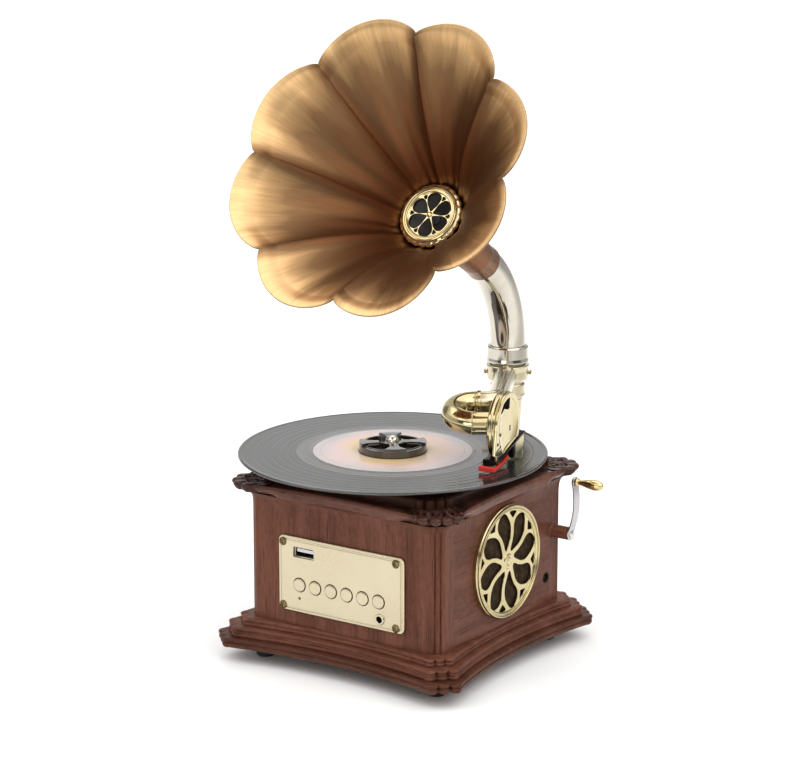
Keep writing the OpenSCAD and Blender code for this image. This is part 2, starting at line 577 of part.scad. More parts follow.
bell_faces = concat(
    [for (j = [0:row_n - 2], k = [0:ring_n - 1]) each [[bi(0, j, k), bi(0, j, k + 1), bi(0, j + 1, k + 1)], [bi(0, j, k), bi(0, j + 1, k + 1), bi(0, j + 1, k)]]],
    [for (j = [0:row_n - 2], k = [0:ring_n - 1]) each [[bi(1, j, k), bi(1, j + 1, k + 1), bi(1, j, k + 1)], [bi(1, j, k), bi(1, j + 1, k), bi(1, j + 1, k + 1)]]],
    [for (k = [0:ring_n - 1]) each [[bi(0, 0, k), bi(1, 0, k), bi(1, 0, k + 1)], [bi(0, 0, k), bi(1, 0, k + 1), bi(0, 0, k + 1)]]],
    [for (k = [0:ring_n - 1]) each [[bi(0, row_n - 1, k), bi(1, row_n - 1, k + 1), bi(1, row_n - 1, k)], [bi(0, row_n - 1, k), bi(0, row_n - 1, k + 1), bi(1, row_n - 1, k + 1)]]]);
module horn_bell() color([0.7, 0.52, 0.28]) place() bell_frame() translate([0, 0, 5.2]) polyhedron(points = [for (p = bell_points) [p[0], p[1], p[2] - 5.2]], faces = bell_faces, convexity = 6);
module horn_ornament() color(brass) place() bell_frame() {
    translate([0, 0, 69.6]) rotate_extrude($fn = 96) polygon([[14.4, 0], [18.2, 0], [19, 1.4], [19, 2.6], [17, 4], [15.6, 3.2], [14.4, 2]]);
    translate([0, 0, 70.2]) linear_extrude(1.4) difference() {
        circle(r = 14.6, $fn = 96);
        for (k = [0:5]) rotate(60 * k) translate([8.4, 0]) circle(r = 3.9, $fn = 40);
        for (k = [0:5]) rotate(60 * k + 30) translate([12.4, 0]) circle(r = 1.2, $fn = 24);
    }
}
module horn_speaker() color(dark) place() bell_frame() {
    translate([0, 0, 50]) cylinder(h = 6, r = 9, $fn = 48);
    translate([0, 0, 56]) cylinder(h = 6, r1 = 9, r2 = 14.6, $fn = 64);
    translate([0, 0, 62]) cylinder(h = 1.6, r = 15.4, $fn = 64);
    ring(63.6, 69.6, 15.6, 14.4, 64);
}

// ---- crank ----
module crank_boss() color(wood) place() difference() {
    x_hole(crank_y, crank_z, 3.75, body_half, 11);
    x_hole(crank_y, crank_z, 1.56, body_half - 1, 14);
}
module crank_shaft() color(silver) place() {
    x_hole(crank_y, crank_z, 1.5, 47.2, 29.6);
    x_hole(crank_y, crank_z, 3, 47.2, 2.6);
    difference() {
        x_hole(crank_y, crank_z, 2.3, 76.8, 1.1);
        translate([77.7, crank_y, crank_z]) cube([0.8, 0.6, 6], center = true);
    }
}
// profile of the flat arm: it bows outward between the shaft and the pin
function arm_x(t) = 76.1 + 2.6 * t + 2.3 * sin(180 * t);
module crank_arm() color(silver) place() {
    difference() {
        union() {
            translate([0, crank_y + 3, 0]) rotate([90, 0, 0]) linear_extrude(6) polygon(concat(
                [for (i = [0:16]) let (t = i / 16) [arm_x(t) + 0.6, crank_z + crank_arm_l * t]],
                [for (i = [0:16]) let (t = 1 - i / 16) [arm_x(t) - 0.6, crank_z + crank_arm_l * t]]));
            x_hole(crank_y, crank_z, 3.85, 75.5, 1.3);
            x_hole(crank_y, crank_z + crank_arm_l, 2.9, 78.1, 1.4);
        }
        x_hole(crank_y, crank_z, 1.52, 75, 4);
        x_hole(crank_y, crank_z, 3.6, 76.8, 4);
    }
    x_hole(crank_y, crank_z + crank_arm_l, 1, 79, 12.5);
}
module crank_knob() color(brass) place() translate([79.9, crank_y, crank_z + crank_arm_l]) rotate([0, 90, 0]) difference() {
    rotate_extrude($fn = 64) polygon([[0, 0], [1.9, 0], [2.2, 0.6], [1.7, 1.4], [1.9, 3.5], [2.5, 6.5], [3, 10], [3, 12], [2.6, 14.6], [1.7, 16.4], [0.7, 17.1], [0, 17.1]]);
    translate([0, 0, -1]) cylinder(h = 13, r = 1.06, $fn = 32);
}

plinth_base();
plinth_step();
rubber_feet();
base_screws();
front_wall();
rear_wall();
left_wall();
right_wall();
corner_posts();
top_plate();
top_deck();
control_panel();
panel_screws();
button_1();
button_2();
button_3();
button_4();
button_5();
button_6();
button_board();
usb_socket();
headphone_jack();
speaker_grille();
grille_cloth();
side_speaker();
dc_socket();
main_board();
battery_pack();
drive_motor();
motor_pulley();
drive_belt();
platter();
slip_mat();
bearing_bush();
spindle();
record();
record_label();
center_adapter();
rear_bracket();
bracket_screws();
column();
swivel_sleeve();
pivot_screws();
arm_collar();
arm_tube();
gooseneck();
sound_box_body();
sound_box_face();
cartridge();
stylus();
horn_ferrule();
horn_elbow();
horn_neck();
horn_bell();
horn_ornament();
horn_speaker();
crank_boss();
crank_shaft();
crank_arm();
crank_knob();
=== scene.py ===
import json
import math

import bmesh
import bpy
import numpy as np
from mathutils import Matrix, Vector
from mathutils.geometry import delaunay_2d_cdt

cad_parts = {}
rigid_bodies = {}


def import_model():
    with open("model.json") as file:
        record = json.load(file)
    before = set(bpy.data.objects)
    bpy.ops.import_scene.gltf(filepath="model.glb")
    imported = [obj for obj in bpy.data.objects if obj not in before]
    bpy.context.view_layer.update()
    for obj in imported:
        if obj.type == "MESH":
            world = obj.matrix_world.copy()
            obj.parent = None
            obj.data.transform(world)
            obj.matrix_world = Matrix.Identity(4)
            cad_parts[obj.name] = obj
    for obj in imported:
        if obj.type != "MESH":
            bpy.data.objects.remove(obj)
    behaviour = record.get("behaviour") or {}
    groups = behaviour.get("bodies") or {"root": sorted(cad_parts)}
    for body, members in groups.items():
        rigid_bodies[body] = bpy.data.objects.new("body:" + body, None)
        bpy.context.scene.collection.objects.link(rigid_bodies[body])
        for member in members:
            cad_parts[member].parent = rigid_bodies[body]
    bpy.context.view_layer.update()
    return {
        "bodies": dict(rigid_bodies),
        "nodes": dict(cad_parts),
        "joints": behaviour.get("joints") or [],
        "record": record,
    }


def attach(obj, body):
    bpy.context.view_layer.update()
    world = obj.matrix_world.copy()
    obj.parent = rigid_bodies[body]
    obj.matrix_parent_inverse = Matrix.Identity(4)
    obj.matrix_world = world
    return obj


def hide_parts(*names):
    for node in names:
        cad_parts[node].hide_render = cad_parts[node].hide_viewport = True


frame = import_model()

# ---------------------------------------------------------------- frames (millimetres)
pi = math.pi
SHIFT = np.array([-1.4, -13.6, 0.0])  # cabinet centre -> row frame
SP = (-6.9, -4.2)


def T(x, y, z):
    m = np.eye(4)
    m[:3, 3] = (x, y, z)
    return m


def Rx(a):
    a = math.radians(a)
    m = np.eye(4)
    m[1:3, 1:3] = [[math.cos(a), -math.sin(a)], [math.sin(a), math.cos(a)]]
    return m


def Ry(a):
    a = math.radians(a)
    m = np.eye(4)
    m[0, 0] = m[2, 2] = math.cos(a)
    m[0, 2], m[2, 0] = math.sin(a), -math.sin(a)
    return m


def Rz(a):
    a = math.radians(a)
    m = np.eye(4)
    m[:2, :2] = [[math.cos(a), -math.sin(a)], [math.sin(a), math.cos(a)]]
    return m


ROOT = T(*SHIFT)
SPIN = ROOT @ T(SP[0], SP[1], 0)
ARM = ROOT @ T(SP[0], SP[1], 116) @ Rz(34.19)
BOX = ARM @ T(63.9, -28, 21.5) @ Rz(67.81) @ Rx(90)
COL = ROOT @ T(0, 106, 0)
HORN = COL @ Rz(272.5)
ELB_R, ELB_A, ELB_Z = 63.6, 57.6, 156.8
NECK = T(ELB_R * (1 - math.cos(math.radians(ELB_A))), 0, ELB_Z + ELB_R * math.sin(math.radians(ELB_A)))
BELL = HORN @ NECK @ Ry(ELB_A)
FACE = ROOT @ T(0, -64.1, 0) @ Rx(90)  # x right, y up, z outward
SIDE = ROOT @ T(64.1, 1.6, 62.1) @ Rz(90) @ Rx(90)  # x toward the back, y up, z outward


# ---------------------------------------------------------------- mesh helpers
def grid(rows, cols, wrap_c=True, wrap_r=False, off=0):
    out = []
    for i in range(rows if wrap_r else rows - 1):
        a, b = i * cols, ((i + 1) % rows) * cols
        for j in range(cols if wrap_c else cols - 1):
            k = (j + 1) % cols
            out.append((off + a + j, off + a + k, off + b + k, off + b + j))
    return out


def join(*parts):
    V, F, n = [], [], 0
    for v, f in parts:
        v = np.asarray(v, float).reshape(-1, 3)
        V.append(v)
        F += [tuple(i + n for i in q) for q in f]
        n += len(v)
    return np.concatenate(V), F


def moved(vf, m):
    v = np.asarray(vf[0], float).reshape(-1, 3)
    return v @ m[:3, :3].T + m[:3, 3], vf[1]


def fillet(pts, seg=4, closed=False):
    """Points (x, y[, radius]): each corner with a radius becomes an arc."""
    out, n = [], len(pts)
    for i, p in enumerate(pts):
        r = p[2] if len(p) > 2 else 0
        if r <= 0 or (not closed and i in (0, n - 1)):
            out.append((p[0], p[1]))
            continue
        a, b, c = (np.array(pts[(i + k) % n][:2], float) for k in (-1, 0, 1))
        u, v = (a - b) / np.linalg.norm(a - b), (c - b) / np.linalg.norm(c - b)
        ang = math.acos(max(-1, min(1, float(u @ v))))
        t = min(r / math.tan(ang / 2), 0.49 * np.linalg.norm(a - b), 0.49 * np.linalg.norm(c - b))
        rr = t * math.tan(ang / 2)
        mid = (u + v) / np.linalg.norm(u + v)
        o = b + mid * rr / math.sin(ang / 2)
        s, e = b + u * t - o, b + v * t - o
        a0, a1 = math.atan2(s[1], s[0]), math.atan2(e[1], e[0])
        d = (a1 - a0 + pi) % (2 * pi) - pi
        for k in range(seg + 1):
            q = a0 + d * k / seg
            out.append((o[0] + rr * math.cos(q), o[1] + rr * math.sin(q)))
    return out


def lathe(prof, n=128, closed=False):
    V, rings = [], []
    for r, z in prof:
        if r < 1e-6:
            rings.append([len(V)])
            V.append((0, 0, z))
        else:
            rings.append(list(range(len(V), len(V) + n)))
            V += [(r * math.cos(2 * pi * j / n), r * math.sin(2 * pi * j / n), z) for j in range(n)]
    F = []
    for A, B in zip(rings, rings[1:] + (rings[:1] if closed else [])):
        if len(A) == 1 and len(B) == 1:
            continue
        for j in range(n):
            k = (j + 1) % n
            if len(A) == 1:
                F.append((A[0], B[k], B[j]))
            elif len(B) == 1:
                F.append((A[j], A[k], B[0]))
            else:
                F.append((A[j], A[k], B[k], B[j]))
    return np.array(V), F


def loft(rings, cap=True):
    """Rings of equal point count, joined in order, with flat ends."""
    n = len(rings[0])
    V = np.concatenate([np.asarray(r, float) for r in rings])
    F = grid(len(rings), n)
    if cap:
        F.append(tuple(reversed(range(n))))
        F.append(tuple(range(len(V) - n, len(V))))
    return V, F


def sweep(path, rad, n=40, shape=None, up=(0, 0, 1), cap=True):
    """Tube along a path; rad is a number or one per point, shape(angle) scales it. Angle 90 degrees points along up."""
    P = np.asarray(path, float)
    rad = np.broadcast_to(np.asarray(rad, float), (len(P),))
    tan = np.gradient(P, axis=0)
    tan /= np.linalg.norm(tan, axis=1)[:, None]
    ref = np.array(up, float)
    rings = []
    for p, t, r in zip(P, tan, rad):
        ref = ref - t * (ref @ t)
        ref /= np.linalg.norm(ref)
        side = np.cross(ref, t)
        a = np.arange(n) * 2 * pi / n
        s = r * (np.array([shape(x) for x in a]) if shape else 1.0)
        rings.append(p + np.outer(s * np.cos(a), side) + np.outer(s * np.sin(a), ref))
    return loft(rings, cap)


def offset_loop(lp, d):
    """Closed loop moved to its left by d."""
    P = np.array(lp, float)
    e = np.roll(P, -1, 0) - P
    e /= np.maximum(np.linalg.norm(e, axis=1), 1e-9)[:, None]
    nrm = np.stack([-e[:, 1], e[:, 0]], 1)
    m = nrm + np.roll(nrm, 1, 0)
    m /= np.maximum((m * m).sum(1) / 2, 0.5)[:, None]
    return P + m * d


def inside(P, loops):
    """Even-odd test of points against closed loops."""
    x, y = P[:, :1], P[:, 1:2]
    c = np.zeros(len(P), int)
    for lp in loops:
        a = np.asarray(lp, float)
        b = np.roll(a, -1, 0)
        hit = (a[:, 1] > y) != (b[:, 1] > y)
        dy = np.where(np.abs(b[:, 1] - a[:, 1]) < 1e-12, 1e-12, b[:, 1] - a[:, 1])
        c += (hit & (x < a[:, 0] + (y - a[:, 1]) * (b[:, 0] - a[:, 0]) / dy)).sum(1)
    return c % 2 == 1


def flat(loops, z0, z1, bevel=0.3, seg=3):
    """Plate with holes and rounded edges between z0 and z1: the first outline is outer, the others are holes."""
    L = []
    for i, lp in enumerate(loops):
        P = np.array([p[:2] for p in lp], float)
        P = P[np.linalg.norm(P - np.roll(P, 1, 0), axis=1) > 2e-3]
        q = np.roll(P, -1, 0)
        area2 = float((P[:, 0] * q[:, 1] - q[:, 0] * P[:, 1]).sum())
        if (area2 > 0) != (i == 0):
            P = P[::-1]
        L.append(P)
    steps = [(bevel * (1 - math.sin(pi / 2 * k / seg)), z1 - bevel * (1 - math.cos(pi / 2 * k / seg))) for k in range(seg + 1)]
    steps += [(d, z1 + z0 - z) for d, z in reversed(steps)]
    parts, caps = [], []
    for P in L:
        rows = [np.column_stack([offset_loop(P, d), np.full(len(P), z)]) for d, z in steps]
        parts.append((np.concatenate(rows), grid(len(rows), len(P))))
        caps.append(rows[0][:, :2])
    pts = [Vector(p) for c in caps for p in c.tolist()]
    edges, o = [], 0
    for c in caps:
        edges += [(o + k, o + (k + 1) % len(c)) for k in range(len(c))]
        o += len(c)
    out = delaunay_2d_cdt(pts, edges, [], 0, 1e-5)
    vv = np.array([tuple(v) for v in out[0]], float)
    ff = np.array([tuple(q) for q in out[2]], int)
    ff = ff[inside(vv[ff].mean(1), caps)]
    for z in (z1, z0):
        parts.append((np.column_stack([vv, np.full(len(vv), z)]), [tuple(q) for q in ff.tolist()]))
    return join(*parts)


def circle(r, n=64, x=0.0, y=0.0, a0=0.0):
    return [(x + r * math.cos(a0 + 2 * pi * k / n), y + r * math.sin(a0 + 2 * pi * k / n)) for k in range(n)]


def rrect(w, h, r, x=0.0, y=0.0, seg=8):
    return fillet([(x - w / 2, y - h / 2, r), (x + w / 2, y - h / 2, r), (x + w / 2, y + h / 2, r), (x - w / 2, y + h / 2, r)], seg, True)


def smooth_loop(pts, per=8):
    """Closed Catmull-Rom curve through the points."""
    P = np.array(pts, float)
    n, out = len(P), []
    for i in range(n):
        a, b, c, d = P[i - 1], P[i], P[(i + 1) % n], P[(i + 2) % n]
        for k in range(per):
            t = k / per
            out.append(tuple(0.5 * (2 * b + (c - a) * t + (2 * a - 5 * b + 4 * c - d) * t * t + (3 * b - a - 3 * c + d) * t ** 3)))
    return out


def piece(name, vf, m, body, mat, replaces=(), sharp=32, bevel=0.0, merge=True, attrs=None):
    """A new piece: vf in millimetres in the frame m, written out in the row frame, riding on a body."""
    vf = moved(vf, m)
    me = bpy.data.meshes.new(name)
    me.from_pydata((vf[0] / 1000).tolist(), [], vf[1])
    if attrs:
        for k, v in attrs.items():
            at = me.attributes.new(k, "FLOAT", "POINT")
            at.data.foreach_set("value", np.asarray(v, np.float32))
    bm = bmesh.new()
    bm.from_mesh(me)
    if merge:
        bmesh.ops.remove_doubles(bm, verts=bm.verts, dist=2e-6)
    bmesh.ops.recalc_face_normals(bm, faces=bm.faces)
    bm.to_mesh(me)
    bm.free()
    me.shade_smooth()
    me.set_sharp_from_angle(angle=math.radians(sharp))
    ob = bpy.data.objects.new(name, me)
    bpy.context.scene.collection.objects.link(ob)
    me.materials.append(mat)
    if bevel:
        b = ob.modifiers.new("edge", "BEVEL")
        b.width, b.segments, b.limit_method, b.angle_limit = bevel / 1000, 2, "ANGLE", math.radians(35)
        b.harden_normals = True
    if merge:
        wn = ob.modifiers.new("normals", "WEIGHTED_NORMAL")
        wn.keep_sharp, wn.weight = True, 60
    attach(ob, body)
    if replaces:
        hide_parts(*replaces)
    return ob


# ---------------------------------------------------------------- materials
class Mat:
    """Small wrapper that builds a node material around one Principled shader."""

    def __init__(self, name, frame=None, **base):
        self.m = bpy.data.materials.new(name)
        self.m.use_nodes = True
        self.nt = self.m.node_tree
        self.nt.nodes.clear()
        out = self.nt.nodes.new("ShaderNodeOutputMaterial")
        self.b = self.nt.nodes.new("ShaderNodeBsdfPrincipled")
        self.nt.links.new(self.b.outputs[0], out.inputs[0])
        self.tc = self.nt.nodes.new("ShaderNodeTexCoord")
        self.obj = self.tc.outputs["Object"]
        if frame is not None:
            mp = self.nt.nodes.new("ShaderNodeMapping")
            mp.vector_type = "TEXTURE"
            mp.inputs["Location"].default_value = tuple(frame[:3, 3] / 1000)
            mp.inputs["Rotation"].default_value = Matrix(frame[:3, :3].tolist()).to_euler()
            self.nt.links.new(self.obj, mp.inputs["Vector"])
            self.obj = mp.outputs[0]
        for k, v in base.items():
            self.b.inputs[k.replace("_", " ")].default_value = v
        self.h = None

    def node(self, kind, ins=None, **props):
        n = self.nt.nodes.new("ShaderNode" + kind)
        for k, v in props.items():
            setattr(n, k, v)
        for k, v in (ins or {}).items():
            if isinstance(v, bpy.types.NodeSocket):
                self.nt.links.new(v, n.inputs[k])
            else:
                n.inputs[k].default_value = v
        return n

    def math(self, op, a, b=0.0, c=None, clamp=False):
        n = self.node("Math", {0: a, 1: b, **({2: c} if c is not None else {})}, operation=op, use_clamp=clamp)
        return n.outputs[0]

    def scaled(self, s, src=None, loc=(0, 0, 0)):
        return self.node("Mapping", {"Vector": src or self.obj, "Scale": s, "Location": loc}).outputs[0]

    def noise(self, vec, scale, detail=4.0, rough=0.55, dist=0.0, out=0):
        n = self.node("TexNoise", {"Vector": vec, "Scale": scale, "Detail": detail, "Roughness": rough, "Distortion": dist})
        return n.outputs[out]

    def ramp(self, fac, stops, interp="LINEAR"):
        n = self.node("ValToRGB", {"Fac": fac})
        n.color_ramp.interpolation = interp
        el = n.color_ramp.elements
        while len(el) < len(stops):
            el.new(0.5)
        for e, (p, c) in zip(el, stops):
            e.position = p
            e.color = (*c, 1) if len(c) == 3 else c
        return n.outputs[0]

    def mix(self, fac, a, b, kind="MIX"):
        n = self.node("Mix", {}, data_type="RGBA", blend_type=kind)
        for key, v in (("Factor", fac), ("A", a), ("B", b)):
            sock = next(s for s in n.inputs if s.name == key and s.enabled)
            if isinstance(v, bpy.types.NodeSocket):
                self.nt.links.new(v, sock)
            else:
                sock.default_value = (*v, 1) if isinstance(v, tuple) and len(v) == 3 else v
        return next(s for s in n.outputs if s.enabled)

    def remap(self, v, a, b, c, d):
        return self.node("MapRange", {0: v, 1: a, 2: b, 3: c, 4: d}).outputs[0]

    def set(self, name, sock):
        self.nt.links.new(sock, self.b.inputs[name])
        return self

    def bump(self, height, strength=0.3, dist=0.0002):
        n = self.node("Bump", {"Height": height, "Strength": strength, "Distance": dist})
        if self.h is not None:
            self.nt.links.new(self.h, n.inputs["Normal"])
        self.h = n.outputs[0]
        self.nt.links.new(self.h, self.b.inputs["Normal"])
        return self

    def xyz(self, src=None):
        return self.node("SeparateXYZ", {0: src or self.obj}).outputs

    def attr(self, name):
        return self.node("Attribute", attribute_name=name).outputs["Fac"]


def walnut(name, axis, carve_stain_and_shade=False, gain=1.0):
    """Stained walnut with a satin lacquer; axis is the grain's direction."""
    m = Mat(name, Roughness=0.42, Specular_IOR_Level=0.09, Coat_Weight=0.04, Coat_Roughness=0.14)
    long, cross = 14.0, 210.0
    s = {"x": (long, cross, cross), "y": (cross, long, cross), "z": (cross, cross, long)}[axis]
    v = m.scaled(s)
    fibre = m.noise(v, 1.6, 8, 0.62, 0.6)
    band = m.noise(m.scaled(tuple(a * 0.16 for a in s)), 1.7, 3, 0.5, 1.4)
    blot = m.noise(m.obj, 26.0, 3, 0.5)
    mott = m.noise(m.scaled(tuple(a * 0.5 + 60 for a in s)), 3.2, 3, 0.6)
    w = m.math("ADD", m.math("ADD", m.math("MULTIPLY", fibre, 0.30), m.math("MULTIPLY", band, 0.44)), m.math("MULTIPLY", mott, 0.26))
    g = gain
    col = m.ramp(w, [(0.33, (0.060 * g, 0.018 * g, 0.010 * g)), (0.46, (0.118 * g, 0.041 * g, 0.025 * g)), (0.56, (0.170 * g, 0.064 * g, 0.041 * g)), (0.72, (0.245 * g, 0.104 * g, 0.070 * g))])
    col = m.mix(m.remap(blot, 0.35, 0.68, 0.0, 0.38), col, (0.130 * g, 0.050 * g, 0.027 * g))
    # open pores: fine dark dashes along the grain
    pore = m.noise(m.scaled(tuple(a * (5.2 if a > 50 else 3.0) for a in s)), 1.0, 2, 0.5)
    pm = m.remap(pore, 0.60, 0.68, 0.0, 0.55)
    col = m.mix(pm, col, (0.035 * g, 0.011 * g, 0.006 * g))
    # painted shade: the per-vertex attribute darkens the wood toward near-black in the carved hollows, under the nose
    # and in the record's shadow on top, together with the ears' dark stain
    if carve_stain_and_shade:
        c = m.attr("carve_stain_and_shade")
        col = m.mix(m.remap(c, 0.15, 0.8, 0.0, 0.96), col, (0.006, 0.0025, 0.002))
        m.b.inputs["Coat Weight"].default_value = 0.35
    m.set("Base Color", col)
    m.set("Roughness", m.remap(m.math("ADD", fibre, m.math("MULTIPLY", pm, 0.5)), 0.3, 1.0, 0.32, 0.55))
    m.bump(m.math("SUBTRACT", fibre, m.math("MULTIPLY", pm, 1.2)), 0.22, 0.00012)
    return m.m


def metal(name, col, dark, rough=(0.07, 0.16), scale=60.0, bumpy=0.02, tint=None, tarnish=0.0):
    m = Mat(name, Metallic=1.0, Roughness=0.12)
    n = m.noise(m.obj, scale, 5, 0.6, 0.4)
    fine = m.noise(m.obj, scale * 14, 3, 0.6)
    c = m.ramp(n, [(0.30, dark), (0.62, col)])
    if tarnish:
        c = m.mix(m.remap(fine, 0.60, 0.75, 0.0, tarnish), c, tuple(a * 0.45 for a in dark))
    m.set("Base Color", c)
    m.set("Roughness", m.remap(m.math("ADD", m.math("MULTIPLY", n, 0.7), m.math("MULTIPLY", fine, 0.3)), 0.3, 0.7, rough[0], rough[1]))
    m.bump(n, bumpy, 0.0004)
    return m.m


def plastic(name, col, col2, rough=(0.3, 0.45), grain=2200.0, strength=0.12, **kw):
    m = Mat(name, **kw)
    n = m.noise(m.obj, 90.0, 4, 0.6)
    f = m.noise(m.obj, grain, 2, 0.5)
    m.set("Base Color", m.ramp(n, [(0.35, col), (0.68, col2)]))
    m.set("Roughness", m.remap(n, 0.3, 0.7, rough[0], rough[1]))
    m.bump(f, strength, 0.00006)
    return m.m


WOOD_Z = walnut("walnut_upright", "z", gain=0.93)
WOOD_Y = walnut("walnut_along_y", "y", gain=0.90)
WOOD_X = walnut("walnut_along_x", "x", gain=0.92)
WOOD_TOP = walnut("walnut_carved_painted_shade", "x", carve_stain_and_shade=True, gain=0.95)
# darker copy of the walnut for the deck: painted shadow of the record
WOOD_DECK_RECORD_SHADOW = walnut("walnut_deck_painted_shadow", "x", gain=0.34)
WOOD_FOOT = walnut("walnut_foot", "x", gain=0.62)
GOLD = metal("gold_polished", (0.63, 0.545, 0.325), (0.52, 0.43, 0.215), (0.06, 0.14))
GOLD_SATIN = metal("gold_satin", (0.62, 0.56, 0.40), (0.54, 0.47, 0.31), (0.14, 0.24), 40)
GOLD_KNOB = metal("gold_knob", (0.74, 0.60, 0.30), (0.58, 0.43, 0.19), (0.10, 0.18), 50)
CHROME = metal("chrome_warm", (0.64, 0.60, 0.52), (0.56, 0.52, 0.44), (0.05, 0.10))
SILVER = metal("nickel_satin", (0.68, 0.66, 0.62), (0.60, 0.58, 0.54), (0.14, 0.26), 50)
ARM_SILVER = metal("arm_nickel", (0.54, 0.52, 0.54), (0.44, 0.42, 0.44), (0.16, 0.28), 50)
SIDE_BRASS = metal("side_brass", (0.80, 0.72, 0.48), (0.70, 0.61, 0.38), (0.38, 0.46), 50)
BRONZE_DK = metal("screw_bronze", (0.26, 0.19, 0.09), (0.13, 0.09, 0.04), (0.22, 0.38), 400, 0.05, tarnish=0.5)
STEEL = metal("screw_steel", (0.58, 0.57, 0.55), (0.48, 0.47, 0.46), (0.22, 0.34), 200, 0.03)
ALU = metal("platter_alu", (0.66, 0.66, 0.66), (0.58, 0.58, 0.58), (0.25, 0.36), 120, 0.03)
# dark bronze for the power inlet; also the painted-shade rings in the button gaps
DARK_BRONZE_AND_GAP_SHADE = plastic("dark_bronze_and_gap_shade", (0.012, 0.006, 0.003), (0.034, 0.018, 0.008), (0.45, 0.62), 900, 0.2, Specular_IOR_Level=0.2)
# painted shade: near-black patches that stand for shaded openings and a crease
OPENING_SHADE = plastic("painted_opening_shade", (0.004, 0.002, 0.001), (0.008, 0.004, 0.002), (0.75, 0.9), 900, 0.2, Specular_IOR_Level=0.03)
BLACK = plastic("black_plastic", (0.003, 0.003, 0.003), (0.006, 0.0056, 0.005), (0.16, 0.26), strength=0.06, Specular_IOR_Level=0.13)
RUBBER = plastic("rubber", (0.012, 0.012, 0.012), (0.022, 0.021, 0.020), (0.62, 0.78), 1400, 0.3)
RED = plastic("red_plastic", (0.60, 0.022, 0.014), (0.72, 0.035, 0.020), (0.22, 0.34), Coat_Weight=0.3, Coat_Roughness=0.1)
WHITE = plastic("white_plastic", (0.72, 0.70, 0.74), (0.80, 0.78, 0.82), (0.3, 0.4))
CIRCUIT = plastic("circuit_board", (0.018, 0.085, 0.035), (0.03, 0.12, 0.05), (0.3, 0.45), 900, 0.2)
WRAP = plastic("battery_wrap", (0.05, 0.13, 0.36), (0.07, 0.18, 0.45), (0.25, 0.35))
SPEAKER = plastic("speaker_black", (0.012, 0.012, 0.012), (0.03, 0.028, 0.026), (0.5, 0.65), 700, 0.4)


def neck_brown():
    m = Mat("neck_brown", BELL, Metallic=0.75, Roughness=0.3, Coat_Weight=0.3, Coat_Roughness=0.2)
    n = m.noise(m.scaled((60, 60, 9)), 3.0, 5, 0.6, 0.3)
    m.set("Base Color", m.ramp(n, [(0.3, (0.15, 0.066, 0.030)), (0.7, (0.28, 0.145, 0.070))]))
    m.set("Roughness", m.remap(n, 0.3, 0.7, 0.24, 0.36))
    m.bump(n, 0.05, 0.0002)
    return m.m


def horn_bronze():
    """Antiqued sheet brass, brushed from throat to rim; painted shade darkens it from the throat through the middle of
    the flare, along the folds, in the flute hollows and on the rim bead, and a painted highlight brightens it toward
    the rim.
    """
    m = Mat("horn_bronze", BELL, Metallic=1.0, Roughness=0.36)
    x, y, z = m.xyz()
    r = m.math("SQRT", m.math("ADD", m.math("MULTIPLY", x, x), m.math("MULTIPLY", y, y)))
    r = m.math("MAXIMUM", r, 0.0005)
    ux, uy = m.math("DIVIDE", x, r), m.math("DIVIDE", y, r)
    pol = m.node("CombineXYZ", {0: ux, 1: uy, 2: m.math("MULTIPLY", z, 1.1)}).outputs[0]
    streak = m.noise(pol, 9.0, 6, 0.60)
    wide = m.noise(pol, 3.1, 3, 0.5, 0.3)
    fine = m.noise(pol, 95.0, 2, 0.5)
    t = m.math("DIVIDE", r, 0.0895)
    fold = m.attr("fold")  # 1 along the folds between the petals
    flute_shade = m.attr("flute_shade")  # 1 along the hollows of the soft flutes
    k = m.math("ADD", t, m.math("MULTIPLY", m.math("SUBTRACT", streak, 0.5), 0.34))
    k = m.math("ADD", k, m.math("MULTIPLY", m.math("SUBTRACT", wide, 0.5), 0.36))
    # painted shade: the folds between the petals and the hollows of the flutes are darkened
    k = m.math("SUBTRACT", k, m.math("MULTIPLY", fold, 0.24))
    k = m.math("SUBTRACT", k, m.math("MULTIPLY", flute_shade, 0.22))
    # painted shade and highlight: dark from the throat through the middle of the flare, bright toward the rim
    col = m.ramp(k, [(0.12, (0.25, 0.104, 0.046)), (0.30, (0.215, 0.098, 0.043)), (0.50, (0.185, 0.092, 0.043)), (0.68, (0.225, 0.126, 0.060)), (0.82, (0.46, 0.280, 0.130)), (0.94, (0.86, 0.560, 0.272))])
    col = m.mix(m.remap(fine, 0.3, 0.7, 0.0, 0.16), col, (0.10, 0.045, 0.016))
    # painted shade on the rim bead
    m.set("Base Color", m.mix(m.math("MULTIPLY", m.attr("rim_bead_shade"), 0.65), col, (0.12, 0.066, 0.028)))
    m.set("Roughness", m.remap(m.math("ADD", m.math("MULTIPLY", streak, 0.6), m.math("MULTIPLY", fine, 0.4)), 0.3, 0.7, 0.36, 0.50))
    m.bump(m.math("ADD", m.math("MULTIPLY", fine, 0.6), m.math("MULTIPLY", streak, 0.6)), 0.10, 0.0006)
    return m.m


